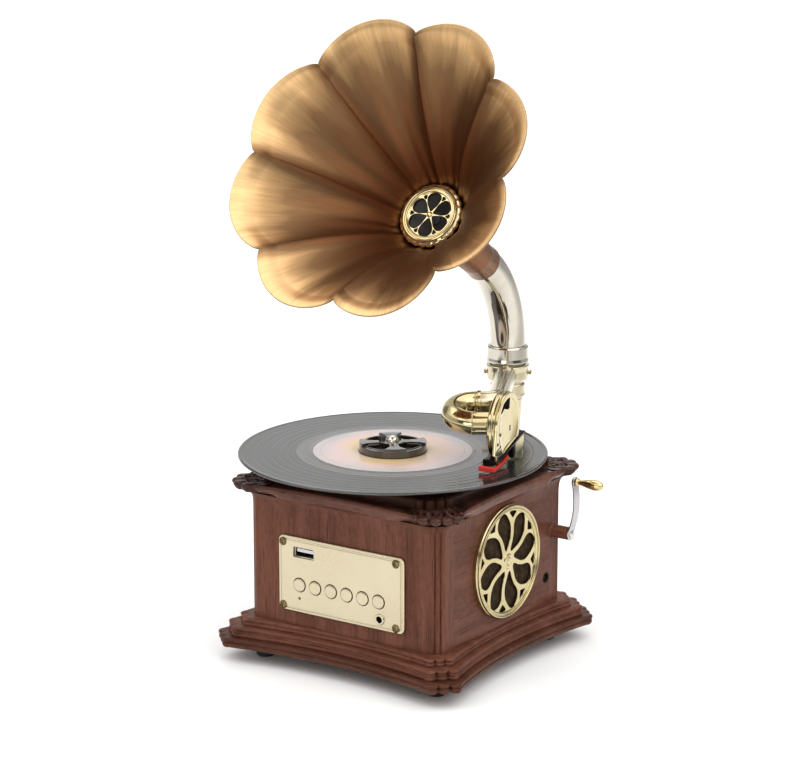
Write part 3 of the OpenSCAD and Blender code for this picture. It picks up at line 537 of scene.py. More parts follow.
def vinyl():
    m = Mat("vinyl", SPIN, Roughness=0.1, Specular_IOR_Level=1.0)
    x, y, z = m.xyz()
    r = m.math("SQRT", m.math("ADD", m.math("MULTIPLY", x, x), m.math("MULTIPLY", y, y)))
    g = m.math("SINE", m.math("MULTIPLY", r, 2 * pi / 0.00052))
    # tracks: the groove depth, gloss and tone change from band to band
    ring = m.node("CombineXYZ", {0: m.math("MULTIPLY", r, 420.0)}).outputs[0]
    band = m.noise(ring, 1.0, 4, 0.7)
    deep = m.noise(ring, 6.0, 2, 0.6)
    inside_ = m.math("MULTIPLY", m.remap(r, 0.0556, 0.0560, 0, 1), m.remap(r, 0.0838, 0.0842, 1, 0))
    dark = m.ramp(band, [(0.3, (0.012, 0.0115, 0.011)), (0.7, (0.026, 0.025, 0.024))])
    lead = m.math("MULTIPLY", m.remap(r, 0.0452, 0.0456, 0, 1), m.remap(r, 0.0542, 0.0546, 1, 0))
    m.set("Base Color", m.mix(lead, dark, (0.105, 0.10, 0.096)))
    m.set("Roughness", m.math("ADD", 0.07, m.math("MULTIPLY", inside_, m.remap(deep, 0.3, 0.7, 0.02, 0.10))))
    h = m.math("ADD", m.math("MULTIPLY", g, 0.30), m.math("MULTIPLY", deep, 1.1))
    m.bump(m.math("MULTIPLY", inside_, h), 0.16, 0.00005)
    return m.m


def label_paper():
    """Plain pastel paper: soft warm patches round the hole, greyer towards the edge."""
    m = Mat("label_paper", SPIN, Roughness=0.36, Coat_Weight=0.35, Coat_Roughness=0.12)
    x, y, z = m.xyz()
    r = m.math("SQRT", m.math("ADD", m.math("MULTIPLY", x, x), m.math("MULTIPLY", y, y)))
    patch = m.noise(m.obj, 34.0, 2, 0.45)
    patch2 = m.noise(m.scaled((1, 1, 1), loc=(0.3, 0.1, 0.2)), 26.0, 2, 0.45)
    fibre = m.noise(m.obj, 1500.0, 4, 0.6)
    k = m.math("ADD", m.math("DIVIDE", r, 0.045), m.math("MULTIPLY", m.math("SUBTRACT", patch, 0.5), 0.55))
    warm = m.ramp(k, [(0.44, (0.80, 0.60, 0.24)), (0.60, (0.82, 0.60, 0.36)), (0.74, (0.80, 0.55, 0.48)), (0.87, (0.62, 0.54, 0.52)), (1.0, (0.50, 0.48, 0.48))])
    col = m.mix(m.remap(patch2, 0.42, 0.64, 0.0, 0.5), warm, (0.72, 0.58, 0.62))
    line = m.math("MULTIPLY", m.remap(r, 0.0402, 0.0405, 0, 1), m.remap(r, 0.0407, 0.0410, 1, 0))
    col = m.mix(m.math("MULTIPLY", line, 0.55), col, (0.40, 0.36, 0.36))
    m.set("Base Color", m.mix(m.remap(fibre, 0.3, 0.7, 0.0, 0.06), col, (0.5, 0.45, 0.4)))
    m.bump(fibre, 0.05, 0.00005)
    return m.m


def cloth_brown():
    """Plain weave: two crossing sets of threads."""
    m = Mat("cloth_brown", SIDE, Roughness=0.95, Specular_IOR_Level=0.08)
    x, y, z = m.xyz()
    p = 2 * pi / 0.00062
    jitter = m.math("MULTIPLY", m.noise(m.obj, 1600.0, 2, 0.5), 1.6)
    a = m.math("SINE", m.math("ADD", m.math("MULTIPLY", x, p), jitter))
    b = m.math("SINE", m.math("ADD", m.math("MULTIPLY", y, p), jitter))
    w = m.math("MULTIPLY", a, b)
    n = m.noise(m.obj, 300.0, 4, 0.6)
    k = m.math("ADD", m.math("MULTIPLY", w, 0.28), n)
    m.set("Base Color", m.ramp(k, [(0.25, (0.014, 0.008, 0.0045)), (0.55, (0.040, 0.025, 0.014)), (0.85, (0.095, 0.064, 0.038))]))
    m.bump(w, 0.6, 0.00014)
    return m.m


HORN_MAT, VINYL, LABEL, CLOTH, NECK_MAT = horn_bronze(), vinyl(), label_paper(), cloth_brown(), neck_brown()


def panel_gold():
    m = Mat("panel_gold", Metallic=1.0, Roughness=0.3)
    n = m.noise(m.obj, 30.0, 3, 0.5)
    brush = m.noise(m.scaled((40, 300, 2600)), 1.0, 3, 0.6)
    m.set("Base Color", m.ramp(n, [(0.3, (0.59, 0.515, 0.36)), (0.7, (0.645, 0.57, 0.405))]))
    m.set("Roughness", m.remap(m.math("ADD", m.math("MULTIPLY", brush, 0.6), m.math("MULTIPLY", n, 0.4)), 0.3, 0.7, 0.24, 0.36))
    m.bump(brush, 0.05, 0.00008)
    return m.m


PANEL = panel_gold()
ADAPT = plastic("adapter_dark", (0.014, 0.009, 0.007), (0.024, 0.016, 0.012), (0.10, 0.18), 1500, 0.03, Specular_IOR_Level=0.9, Coat_Weight=0.8, Coat_Roughness=0.05)


# ---------------------------------------------------------------- mouldings with lobed corners
def thetas():
    a = np.concatenate([np.linspace(0, math.radians(34), 26, endpoint=False), np.linspace(math.radians(34), math.radians(45), 84)])
    half = np.concatenate([a, (pi / 2 - a[::-1])[1:]])  # 0..90
    return np.concatenate([half[:-1] + k * pi / 2 for k in range(4)])


TH = thetas()


def board_r(mid, end, cut, lobes, notch=None, d=0.0, th=TH):
    """Outline radius: concave sides, chamfered corners and lobes (offset along the chamfer, distance out, radius)."""
    a = np.abs((th + pi / 4) % (pi / 2) - pi / 4)
    c, s = np.cos(a), np.sin(a)
    t = (end - d) / c
    t = np.minimum(t, (2 * end - cut - d * math.sqrt(2)) / (c + s))
    if end > mid:
        l, g = end - cut - 0.6, end - mid
        R = (l * l + g * g) / (2 * g)
        disc = (R + d) ** 2 - ((mid + R) * s) ** 2
        side = np.where(disc > 0, (mid + R) * c - np.sqrt(np.maximum(disc, 0)), 1e9)
        t = np.minimum(t, side)
    if notch:
        pos, wid, deep = notch
        t = t - deep * np.exp(-(((t * s - pos) / wid) ** 4))
    for o, u, r in lobes:
        x, y = (u + o) / math.sqrt(2), (u - o) / math.sqrt(2)
        al, cr = x * c + y * s, x * s - y * c
        rr = r - d
        if rr > 0:
            t = np.where(np.abs(cr) < rr, np.maximum(t, al + np.sqrt(np.maximum(rr * rr - cr * cr, 0))), t)
    return t


def lobes3(end, cut, r, inset):
    u = math.sqrt(2) * (end - cut / 2 - inset / math.sqrt(2))
    return [(i * cut / 3 * math.sqrt(2), u, r) for i in (-1, 0, 1)]


def lobes4(step, u, back, r):
    return [(i * step, u - (back if abs(i) > 1 else 0.0), r) for i in (-1.5, -0.5, 0.5, 1.5)]


def board_ring(p, d, z, th=TH):
    r = board_r(*p, d=d, th=th)
    return np.stack([r * np.cos(th), r * np.sin(th), np.full(len(th), z)], 1)


def moulding(p, prof):
    return loft([board_ring(p, d, z) for d, z in prof])


# plinth: a broad foot moulding and two narrower beads above it
P3, P2, P1 = ((m_, e_, c_, lobes3(e_, c_, r_, i_)) for m_, e_, c_, r_, i_ in ((73.5, 80.8, 13.9, 3.5, 0.5), (69.5, 76.35, 13.2, 3.3, 0.4), (66.0, 71.0, 11.2, 2.85, 0.35)))
prof3 = fillet([(4, 8.9), (1.3, 8.9, 0.9), (0.25, 10.3, 0.8), (0.25, 11.7, 0.2), (0.75, 12.0, 0.2), (0.75, 12.35, 0.2), (0.0, 12.8, 0.7), (0.0, 14.3, 0.7), (1.1, 14.6, 0.5), (9, 14.6)], 4)
piece("plinth_foot_moulding", moulding(P3, prof3), ROOT, "root", WOOD_FOOT, ["plinth_base"], 38)
prof2 = fillet([(5, 14.6), (0.5, 14.6), (0.0, 15.2, 0.6), (0.0, 16.3, 0.5), (0.7, 16.8, 0.2), (0.7, 17.2, 0.2), (0.3, 17.4, 0.2), (0.3, 18.0, 0.2), (0.8, 18.3, 0.2), (0.1, 18.8, 0.6), (0.1, 20.0, 0.6), (1.1, 20.5, 0.5), (7, 20.5)], 4)
prof1 = fillet([(4, 20.45), (0.4, 20.45), (0.0, 20.9, 0.5), (0.0, 22.0, 0.5), (0.75, 22.5, 0.2), (0.75, 22.8, 0.2), (0.15, 23.2, 0.5), (0.15, 24.2, 0.6), (1.2, 24.9, 0.6), (8, 24.9)], 4)
piece("plinth_upper_mouldings", join(moulding(P2, prof2), moulding(P1, prof1)), ROOT, "root", WOOD_X, ["plinth_step"], 38)

# corner posts with three reeds
PB = (64.1, 64.1, 6.85, lobes3(64.1, 6.85, 1.75, 0.3))


def body_outline(d):
    r = board_r(*PB, d=d)
    return np.stack([r * np.cos(TH), r * np.sin(TH)], 1)


def post(sx, sy):
    q = body_outline(0.0)
    sel = q[(q[:, 0] > 50.2) & (q[:, 1] > 50.2)]
    pts = [(64.1, 50.2), *map(tuple, sel), (50.2, 64.1), (50.2, 50.2)]
    rings = [np.array([(x * sx, y * sy, z) for x, y in pts]) for z in (24.9, 61.3, 97.8)]
    return loft(rings)


piece("cabinet_reeded_posts", join(*[post(sx, sy) for sx in (-1, 1) for sy in (-1, 1)]), ROOT, "root", WOOD_Z, ["corner_posts"], 30)

# small cove under the top board
cove = [(0.04, 88.0), (-0.02, 89.5), (-0.12, 91.2), (-0.3, 92.8), (-0.6, 94.3), (-1.0, 95.5), (-1.6, 96.6), (-2.3, 97.4), (-3.1, 97.9), (1.0, 97.9), (1.0, 88.0)]
rings = []
for d, z in cove:
    r = board_r(*PB, d=d)
    rings.append(np.stack([r * np.cos(TH), r * np.sin(TH), np.full(len(TH), z)], 1))
n = len(TH)
piece("cornice_cove", (np.concatenate(rings), grid(len(rings), n, True, True)), ROOT, "root", WOOD_Z, sharp=50)

# ---------------------------------------------------------------- top board with carved ears
PT = (67.5, 73.4, 14.6, lobes4(6.2, 95.8, 3.3, 3.35), (54.6, 2.0, 1.6))


def stroke(P, pts, w, soft=0.35):
    """1 on a drawn line of half width w, 0 away from it."""
    pts = np.array(pts, float)
    best = np.full(len(P), 1e9)
    for a, b in zip(pts[:-1], pts[1:]):
        ab = b - a
        t = np.clip(((P - a) @ ab) / max(ab @ ab, 1e-9), 0, 1)
        best = np.minimum(best, np.linalg.norm(P - (a + t[:, None] * ab), axis=1))
    x = np.clip((w + soft - best) / (2 * soft), 0, 1)
    return x * x * (3 - 2 * x)


def curve(pts, n=24):
    """Open Catmull-Rom curve."""
    P = np.array([pts[0], *pts, pts[-1]], float)
    out = []
    for i in range(1, len(P) - 2):
        a, b, c, d = P[i - 1 : i + 3]
        for k in range(n):
            t = k / n
            out.append(0.5 * (2 * b + (c - a) * t + (2 * a - 5 * b + 4 * c - d) * t * t + (3 * b - a - 3 * c + d) * t ** 3))
    out.append(P[-1])
    return np.array(out)


def ear_carving(x, y):
    """Depth, 0 to 1, of a symmetric leaf-and-scroll carving on each ear of the top board."""
    ax, ay = np.abs(x), np.abs(y)
    u = (ax + ay) / math.sqrt(2) - 81.0  # outward along the diagonal
    v = np.abs(ax - ay) / math.sqrt(2)
    near = (u > -9) & (v < 26)
    out = np.zeros(len(x))
    P = np.stack([u, v], 1)[near]
    if not len(P):
        return out
    s = np.zeros(len(P))
    # central leaf, its two flanking scrolls, outer leaves and hollows between the lobes
    s = np.maximum(s, stroke(P, curve([(1.4, 0.9), (3.4, 2.6), (6.8, 3.1), (10.0, 2.3), (12.6, 0.9)]), 0.62))
    s = np.maximum(s, stroke(P, [(4.0, 0.0), (10.4, 0.0)], 0.42))
    s = np.maximum(s, stroke(P, curve([(0.2, 4.2), (2.4, 6.4), (5.6, 7.6), (9.0, 6.9), (10.2, 5.0), (8.8, 4.2), (7.4, 5.0)]), 0.62))
    s = np.maximum(s, stroke(P, [(4.6, 5.1), (4.65, 5.1)], 0.95))
    s = np.maximum(s, stroke(P, curve([(-1.4, 7.4), (0.6, 9.8), (3.6, 11.2), (7.0, 10.6)]), 0.6))
    s = np.maximum(s, stroke(P, [(1.6, 8.4), (1.65, 8.4)], 0.7))
    s = np.maximum(s, stroke(P, curve([(-3.6, 11.4), (-2.0, 14.0), (0.6, 16.2)]), 0.5))
    for v0, u0, u1 in ((0.0, 12.6, 16.2), (6.2, 11.4, 14.6)):
        s = np.maximum(s, stroke(P, [(u0, v0), (u1, v0 + 0.2)], 0.55))
    out[near] = s
    return out


nose = fillet([(4.6, 97.8), (0.8, 97.8, 0.3), (0.15, 98.5, 0.5), (0.0, 99.8, 0.5), (0.0, 102.3, 1.2), (0.5, 103.7, 1.2), (1.7, 104.5)], 5)
nose_ear = fillet([(6.5, 97.8), (5.0, 98.3, 0.3), (2.9, 99.4, 0.5), (0.9, 101.0, 0.5), (0.0, 102.6, 1.0), (0.5, 104.0, 0.9), (1.7, 104.5)], 5)
B0 = board_ring(PT, 0.0, 0.0)
EARW = np.clip((24.0 - np.abs(np.abs(B0[:, 0]) - np.abs(B0[:, 1])) / math.sqrt(2)) / 8.0, 0, 1)[:, None]
EARW = EARW * EARW * (3 - 2 * EARW)
rings = [board_ring(PT, 12.0, 97.8)]
for (d, z), (d2, z2) in zip(nose, nose_ear):
    rings.append(board_ring(PT, d, z) * (1 - EARW) + board_ring(PT, d2, z2) * EARW)
edge = board_r(*PT, d=1.7)
inner = board_r(58.5, 58.5, 12.0, [])
inner = np.minimum(inner, edge - 4)
K = 72
for k in range(1, K + 1):
    r = edge + (inner - edge) * k / K
    rings.append(np.stack([r * np.cos(TH), r * np.sin(TH), np.full(len(TH), 104.5)], 1))
V, Fc = loft(rings)
top0 = len(TH) * (len(nose) + 1)
carv = np.zeros(len(V))
carv[top0:] = ear_carving(V[top0:, 0], V[top0:, 1])
V[:, 2] -= 1.25 * carv
# distances out along and across each ear's diagonal
u = (np.abs(V[:, 0]) + np.abs(V[:, 1])) / math.sqrt(2) - 81.0
v = np.abs(np.abs(V[:, 0]) - np.abs(V[:, 1])) / math.sqrt(2)
# darkening for the wood colour: painted shade in the carved hollows and under the nose near the ears, a dark stain with
# painted shade on the ears, and a painted shadow of the record on top
nose_underside_shade = np.clip((102.0 - V[:, 2]) / 3.0, 0, 1) * (np.arange(len(V)) < top0) * np.clip((18 - v) / 6, 0, 1)
on_top = (np.arange(len(V)) >= top0 - 2 * len(TH)) * 1.0
ear_stain_and_record_shadow = 0.56 * np.clip((20 - v) / 6, 0, 1) + 0.42 * on_top * np.clip((v - 10) / 8, 0, 1)
# painted shade and shadow joined to the carving depth in one darkening attribute
carv = np.maximum(np.maximum(carv, ear_stain_and_record_shadow), 0.62 * nose_underside_shade)
piece("top_board", (V, Fc), ROOT, "root", WOOD_TOP, ["top_plate"], 40, merge=False, attrs={"carve_stain_and_shade": carv})

PD = (60.6, 60.6, 13.2, lobes4(5.1, 78.6, 3.1, 2.6))
deckp = fillet([(3, 104.45), (-0.9, 104.45), (-0.9, 104.8, 0.2), (-0.35, 105.4, 0.5), (0.0, 106.0, 0.3), (0.0, 108.9, 0.9), (1.0, 110.0, 0.9), (6, 110.0)], 5)
deckp = [(max(d, 0.0), z) for d, z in deckp]
piece("top_deck_board", moulding(PD, deckp), ROOT, "root", WOOD_DECK_RECORD_SHADOW, ["top_deck"], 38)

# ---------------------------------------------------------------- control panel
bx = [-27.4 + 10.62 * i for i in range(6)]
scr = [(x, z) for x in (-38.6, 37.1) for z in (36.2, 72.9)]


def panel_holes(grow=0.0):
    h = [circle(4.15 + grow, 64, x, 49.35) for x in bx]
    h.append(circle(2.66 + grow, 40, 26.5, 39.4))
    h.append(circle(0.8 + grow, 20, -27.5, 41.5))
    h.append(rrect(13.9 + 2 * grow, 5.9 + 2 * grow, 0.5, -24.65, 68.05, 3))
    return h


pl = join(
    flat([rrect(84.1, 43.3, 3.2, 0.25, 54.85, 10)] + panel_holes(0.25), 0.0, 1.62, 0.55, 4),
    flat([rrect(79.6, 38.8, 1.8, 0.25, 54.85, 10)] + panel_holes(), 1.3, 2.0, 0.22, 3),
)
piece("panel_plate", pl, FACE, "root", PANEL, ["control_panel"], 40)
# fine raised line between the bevel and the middle of the plate
line = flat([rrect(81.5, 40.7, 2.5, 0.25, 54.85, 10), rrect(80.7, 39.9, 2.2, 0.25, 54.85, 10)], 1.5, 1.86, 0.12, 2)
piece("panel_border_line", line, FACE, "root", GOLD_SATIN, sharp=40)


def cross_head(r, h, slot_w, slot_l, depth, n=40):
    """Domed screw head with a cross recess, on z = 0."""
    prof = fillet([(0.001, h), (r * 0.55, h * 0.96, r * 0.4), (r * 0.92, h * 0.62, r * 0.3), (r, 0.0)], 4)
    K, rr = 14, []
    a = np.arange(n * 2) * pi / n
    P = [np.array(p) for p in prof]
    zs = lambda q: np.interp(q, [p[0] for p in prof], [p[1] for p in prof])
    V, R = [], np.concatenate([np.linspace(0.0, slot_l / 2 + 0.1, 12)[1:], np.linspace(slot_l / 2 + 0.1, r, 10)[1:]])
    V.append((0, 0, h - depth))
    for q in R:
        x, y = q * np.cos(a), q * np.sin(a)
        z = np.full(len(a), zs(q))
        arm = ((np.abs(x) < slot_w / 2) & (np.abs(y) < slot_l / 2)) | ((np.abs(y) < slot_w / 2) & (np.abs(x) < slot_l / 2))
        z = np.where(arm, h - depth, z)
        V += list(zip(x, y, z))
    m = len(a)
    F = [(0, 1 + j, 1 + (j + 1) % m) for j in range(m)]
    F += grid(len(R), m, off=1)
    V = np.array(V, float)
    base = V[-m:].copy()
    base[:, 2] = -0.3
    V = np.concatenate([V, base])
    F += [(1 + (len(R) - 1) * m + j, 1 + (len(R) - 1) * m + (j + 1) % m, 1 + len(R) * m + (j + 1) % m, 1 + len(R) * m + j) for j in range(m)]
    F.append(tuple(1 + len(R) * m + j for j in range(m)))
    return V, F


heads = [moved(cross_head(2.2, 1.2, 0.55, 2.6, 0.75), T(x, z, 2.0) @ Rz(17 * (i + 1))) for i, (x, z) in enumerate(scr)]
heads += [moved(lathe(fillet([(2.2, 0.0), (2.42, 0.0, 0.05), (2.42, 0.18, 0.05), (2.2, 0.25)], 3) + [(2.2, 0.0)], 48), T(x, z, 1.98)) for x, z in scr]
piece("panel_screw_heads", join(*heads), FACE, "root", BRONZE_DK, ["panel_screws"], 30)

# painted shade: a dark ring in each button's gap stands for the shade there
piece("button_gap_shade_rings", join(*[moved(lathe(fillet([(3.92, -0.4), (3.92, 1.62, 0.05), (4.13, 1.7, 0.05), (4.13, -0.4)], 2), 64, True), T(x, 49.35, 0)) for x in bx]), FACE, "root", DARK_BRONZE_AND_GAP_SHADE, sharp=35)
for i, x in enumerate(bx):
    cap = lathe(fillet([(0.0, 0.62), (3.1, 0.60, 0.6), (3.72, 0.42, 0.2), (3.74, 0.0, 0.1), (3.74, -2.4), (4.5, -2.4), (4.5, -3.3), (1.5, -3.3), (1.5, -5.6), (0.0, -5.6)], 5), 64)
    piece(f"key_cap_{i + 1}", moved(cap, T(x, 49.35, 2.0)), FACE, f"push_{i + 1}", PANEL, [f"button_{i + 1}"], 35)

# socket for memory sticks: folded metal shell, white tongue with four contacts, dark back
ux, uz = -24.65, 68.05
shell = join(flat([rrect(14.6, 6.8, 0.7, ux, uz, 4), rrect(13.4, 5.6, 0.35, ux, uz, 3)], -13.8, 0.02, 0.08, 1), flat([rrect(14.6, 6.8, 0.7, ux, uz, 4)], -14.0, -13.0, 0.1, 1))
piece("usb_shell", shell, FACE, "root", SILVER, ["usb_socket"], 35)
piece("usb_tongue", flat([rrect(11.8, 1.9, 0.2, ux, uz + 0.7, 3)], -13.4, -0.35, 0.12, 2), FACE, "root", WHITE, sharp=35)
piece("usb_contacts", join(*[flat([rrect(1.1, 0.16, 0.05, ux + dx, uz - 0.3, 2)], -12.6, -0.9, 0.04, 1) for dx in (-3.5, -1.0, 1.0, 3.5)]), FACE, "root", GOLD, sharp=35)
piece("usb_back", flat([rrect(13.2, 5.4, 0.3, ux, uz, 3)], -13.0, -11.2, 0.1, 1), FACE, "root", BLACK, sharp=35)

jack = lathe(fillet([(1.8, -11.0), (1.8, 2.5, 0.1), (2.05, 2.82, 0.15), (2.9, 2.9, 0.25), (3.2, 2.55, 0.25), (3.2, 2.02), (2.6, 2.0), (2.6, -4.0), (3.6, -4.0), (3.6, -13.0), (0.0, -13.0), (0.0, -11.0)], 4), 64)
piece("jack_body", moved(jack, T(26.5, 39.4, 0)), FACE, "root", GOLD_SATIN, ["headphone_jack"], 35)
piece("jack_liner", moved(lathe(fillet([(1.79, 1.9), (1.55, 1.9, 0.05), (1.55, -9.5), (0.0, -9.5), (0.0, -9.8), (1.79, -9.8), (1.79, 1.9)], 2), 40), T(26.5, 39.4, 0)), FACE, "root", BLACK, sharp=35)
piece("indicator_lens", moved(lathe(fillet([(0.0, 1.35), (0.55, 1.2, 0.3), (0.78, 0.8), (0.78, -0.5), (0.0, -0.5)], 3), 24), T(-27.5, 41.5, 0)), FACE, "root", BLACK, sharp=35)

# ---------------------------------------------------------------- side grille
paisley = smooth_loop([(-2.0, 6.5), (-3.05, 8.0), (-4.1, 11.0), (-6.5, 15.1), (-9.4, 18.5), (-10.55, 21.5), (-9.75, 24.5), (-7.5, 27.1), (-4.95, 28.0), (-2.3, 27.0), (0.1, 24.4), (2.0, 21.3), (2.85, 17.8), (2.4, 13.8), (0.8, 10.2), (-0.75, 7.3)], 6)
tri = fillet([(1.0, 28.15, 0.5), (5.0, 24.0, 0.4), (9.2, 27.0, 0.5), (5.2, 28.15, 3.0)], 4, True)


paisley = [tuple(p) for p in offset_loop(paisley, 0.3 if sum(a[0] * b[1] - a[1] * b[0] for a, b in zip(paisley, paisley[1:] + paisley[:1])) < 0 else -0.3)]


def spun(loop, k):
    c, s = math.cos(k * pi / 4), math.sin(k * pi / 4)
    return [(x * c - y * s, x * s + y * c) for x, y in loop]


# a petal is cut out eight times; the bars between are rounded like wire
lattice = flat([circle(29.2, 160)] + [spun(paisley, k) for k in range(8)] + [spun(tri, k) for k in range(8)], 0.95, 2.45, 0.38, 4)
rim = lathe(fillet([(28.6, 0.0), (32.6, 0.0, 0.0), (32.6, 2.2, 0.6), (32.0, 2.7, 0.3), (31.9, 3.7, 0.4), (31.2, 3.98, 0.4), (30.75, 3.6, 0.2), (30.7, 2.95, 0.15), (30.35, 2.9, 0.15), (30.2, 3.1, 0.2), (29.6, 3.3, 0.4), (28.75, 2.75, 0.4), (28.6, 2.0)], 5), 192, True)
boss = lathe(fillet([(0.0, 3.95), (0.7, 3.9, 0.5), (2.3, 3.75, 0.6), (2.45, 3.1, 0.2), (3.1, 3.0, 0.3), (3.9, 2.85, 0.3), (4.6, 2.35, 0.3), (4.7, 1.0), (0.0, 1.0)], 5), 80)
piece("grille_lattice", join(lattice, rim, boss), SIDE, "root", GOLD, ["speaker_grille"], 40)
cl = lathe([(0.0, 0.62), (14, 0.62), (28.3, 0.5), (28.3, 0.05), (0.0, 0.05)], 96)
piece("grille_fabric", cl, SIDE, "root", CLOTH, ["grille_cloth"], 40)

dc = lathe(fillet([(2.55, -7.5), (2.6, -0.1, 0.1), (2.8, 0.12, 0.1), (3.2, 0.12, 0.05), (3.2, -9.0), (0.8, -9.0), (0.8, -1.1, 0.3), (0.0, -0.8)], 4), 56)
piece("power_inlet_body", moved(dc, T(46.3 - 1.6, 40.2 - 62.1, 0)), SIDE, "root", DARK_BRONZE_AND_GAP_SHADE, ["dc_socket"], 35)

# ---------------------------------------------------------------- crank
CRANK = ROOT @ T(0, 52.7, 66.8)
bossp = lathe(fillet([(1.56, 0.0), (4.3, 0.0), (4.25, 0.5, 0.4), (3.75, 1.2, 0.8), (3.7, 9.4, 0.2), (3.75, 10.5, 0.4), (3.3, 11.0, 0.3), (1.56, 11.0)], 5), 64, True)
bossp = (np.asarray(bossp[0]) * [1, 1, 1], bossp[1])
piece("crank_wood_boss", bossp, CRANK @ T(64.1, 0, 0) @ Ry(90), "root", walnut("walnut_boss", "x", gain=1.0), ["crank_boss"], 35)


def slotted(r, h, w, depth, under=0.0):
    """Domed round head with one slot across."""
    n, V = 72, [(0, 0, h - depth)]
    a = np.arange(n) * 2 * pi / n
    R = np.concatenate([np.linspace(0, r, 16)[1:]])
    dome = lambda q: h * (1 - 0.55 * (q / r) ** 2.4)
    for q in R:
        x, y = q * np.cos(a), q * np.sin(a)
        z = np.where(np.abs(y) < w / 2, h - depth, dome(q))
        V += list(zip(x, y, z))
    F = [(0, 1 + j, 1 + (j + 1) % n) for j in range(n)] + grid(len(R), n, off=1)
    V = np.array(V, float)
    base = V[-n:].copy()
    base[:, 2] = under
    V = np.concatenate([V, base])
    o = 1 + (len(R) - 1) * n
    F += [(o + j, o + (j + 1) % n, o + n + (j + 1) % n, o + n + j) for j in range(n)] + [tuple(o + n + j for j in range(n))]
    return V, F


sh = join(lathe([(0, 47.2), (3, 47.2), (3, 49.8), (1.5, 49.8), (1.5, 76.9), (0, 76.9)], 40), moved(slotted(2.35, 1.15, 0.7, 0.8), T(0, 0, 76.8) @ Rz(65)))
piece("crank_axle", sh, CRANK @ Ry(90), "crank", SILVER, ["crank_shaft"], 35)

# bowed flat arm with round ends, swept from the hub up to the knob
N = 40
rings = []
for i in range(N + 1):
    t = i / N
    x = 76.1 + 2.6 * t + 2.3 * math.sin(pi * t)
    dx = 2.6 + 2.3 * pi * math.cos(pi * t)
    tx, tz = dx / math.hypot(dx, 31), 31 / math.hypot(dx, 31)
    w = 3.0 + 0.5 * math.exp(-((t / 0.12) ** 2)) - 0.25 * max(0, (t - 0.9) / 0.1)
    sec = rrect(2 * w, 1.2, 0.42, 0, 0, 3)  # width along y, thickness across
    nx, nz = tz, -tx
    rings.append(np.array([(x + b * nx, a, 31 * t + b * nz) for a, b in sec]))
arm = loft(rings)
hub = moved(lathe(fillet([(1.52, 75.5), (3.85, 75.5, 0.2), (3.85, 76.75, 0.25), (1.52, 76.75)], 3), 64, True), Ry(90))
end = moved(lathe(fillet([(0.0, 78.0), (2.95, 78.0, 0.2), (2.95, 79.45, 0.35), (1.6, 79.6), (1.0, 79.62), (1.0, 91.3, 0.2), (0.0, 91.5)], 3), 48), T(0, 0, 31) @ Ry(90))
piece("crank_arm_bar", join(arm, hub, end), CRANK, "crank", ARM_SILVER, ["crank_arm"], 35)
knob = lathe(fillet([(1.06, 0.0), (2.0, 0.0, 0.2), (2.35, 0.5, 0.3), (2.1, 1.1, 0.3), (1.55, 1.5, 0.3), (1.5, 2.3, 0.6), (1.85, 4.2, 1.5), (2.6, 7.6, 3.0), (3.05, 10.8, 3.0), (3.0, 12.8, 2.0), (2.45, 15.2, 2.0), (1.3, 16.8, 1.0), (0.0, 17.1)], 6) + [(0, 12.0), (1.06, 12.0)], 72, True)
piece("crank_knob_drop", knob, CRANK @ T(79.9, 0, 31) @ Ry(90), "knob", GOLD_KNOB, ["crank_knob"], 35)

# ---------------------------------------------------------------- record, label, adapter, spindle
z1, z0 = 116.0, 114.4
prof = [(19.1, z0), (86.3, z0), (86.9, z0 + 0.2), (87.25, z0 + 0.6), (87.25, z0 + 1.0), (87.0, z1 - 0.2), (86.5, z1 + 0.0)]
prof += [(85.4, z1 - 0.06), (84.8, z1 - 0.22), (84.2, z1 - 0.24)]
r = 84.0
rng = np.random.default_rng(4)
gaps = [79.6, 74.2, 69.5, 64.8, 60.2]
while r > 56.2:
    if gaps and r < gaps[0]:
        prof += [(r, z1 - 0.24), (r - 0.25, z1 - 0.30), (r - 0.75, z1 - 0.30), (r - 1.0, z1 - 0.24)]
        r -= 1.0
        gaps.pop(0)
    prof += [(r, z1 - 0.24), (r - 0.35, z1 - 0.232)]
    r -= 0.7
prof += [(55.8, z1 - 0.26), (54.9, z1 - 0.26), (54.5, z1 - 0.12), (54.1, z1 - 0.26), (50.6, z1 - 0.24), (50.3, z1 - 0.14), (50.0, z1 - 0.24), (46.9, z1 - 0.20), (46.2, z1 - 0.02), (45.3, z1), (19.1, z1)]
piece("record_disc", lathe(prof, 256, True), SPIN, "turntable", VINYL, ["record"], 60)
lab = lathe([(19.6, z1 + 0.005), (44.6, z1 + 0.005), (44.9, z1 + 0.05), (44.8, z1 + 0.12), (44.4, z1 + 0.14), (38.2, z1 + 0.14), (38.0, z1 + 0.09), (37.7, z1 + 0.09), (37.5, z1 + 0.14), (19.9, z1 + 0.14), (19.6, z1 + 0.10)], 192, True)
piece("record_paper_label", lab, SPIN, "turntable", LABEL, ["record_label"], 60)


def kidney(a0):
    """Opening between two arms of the adapter, with round corners."""
    ri, ro, h = 5.6, 16.35, math.radians(27.5)
    h2 = math.radians(24.5)
    outer = [(ro * math.cos(a0 + t), ro * math.sin(a0 + t)) for t in np.linspace(-h, h, 17)]
    inn = [(ri * math.cos(a0 + t), ri * math.sin(a0 + t)) for t in np.linspace(h2, -h2, 5)]
    P = [(*p, 0) for p in outer] + [(*p, 0) for p in inn]
    P[0], P[16] = (*outer[0], 2.6), (*outer[16], 2.6)
    P[17], P[21] = (*inn[0], 1.2), (*inn[4], 1.2)
    P = [p for i, p in enumerate(P) if i not in (1, 2, 3, 13, 14, 15)]
    return fillet(P, 6, True)


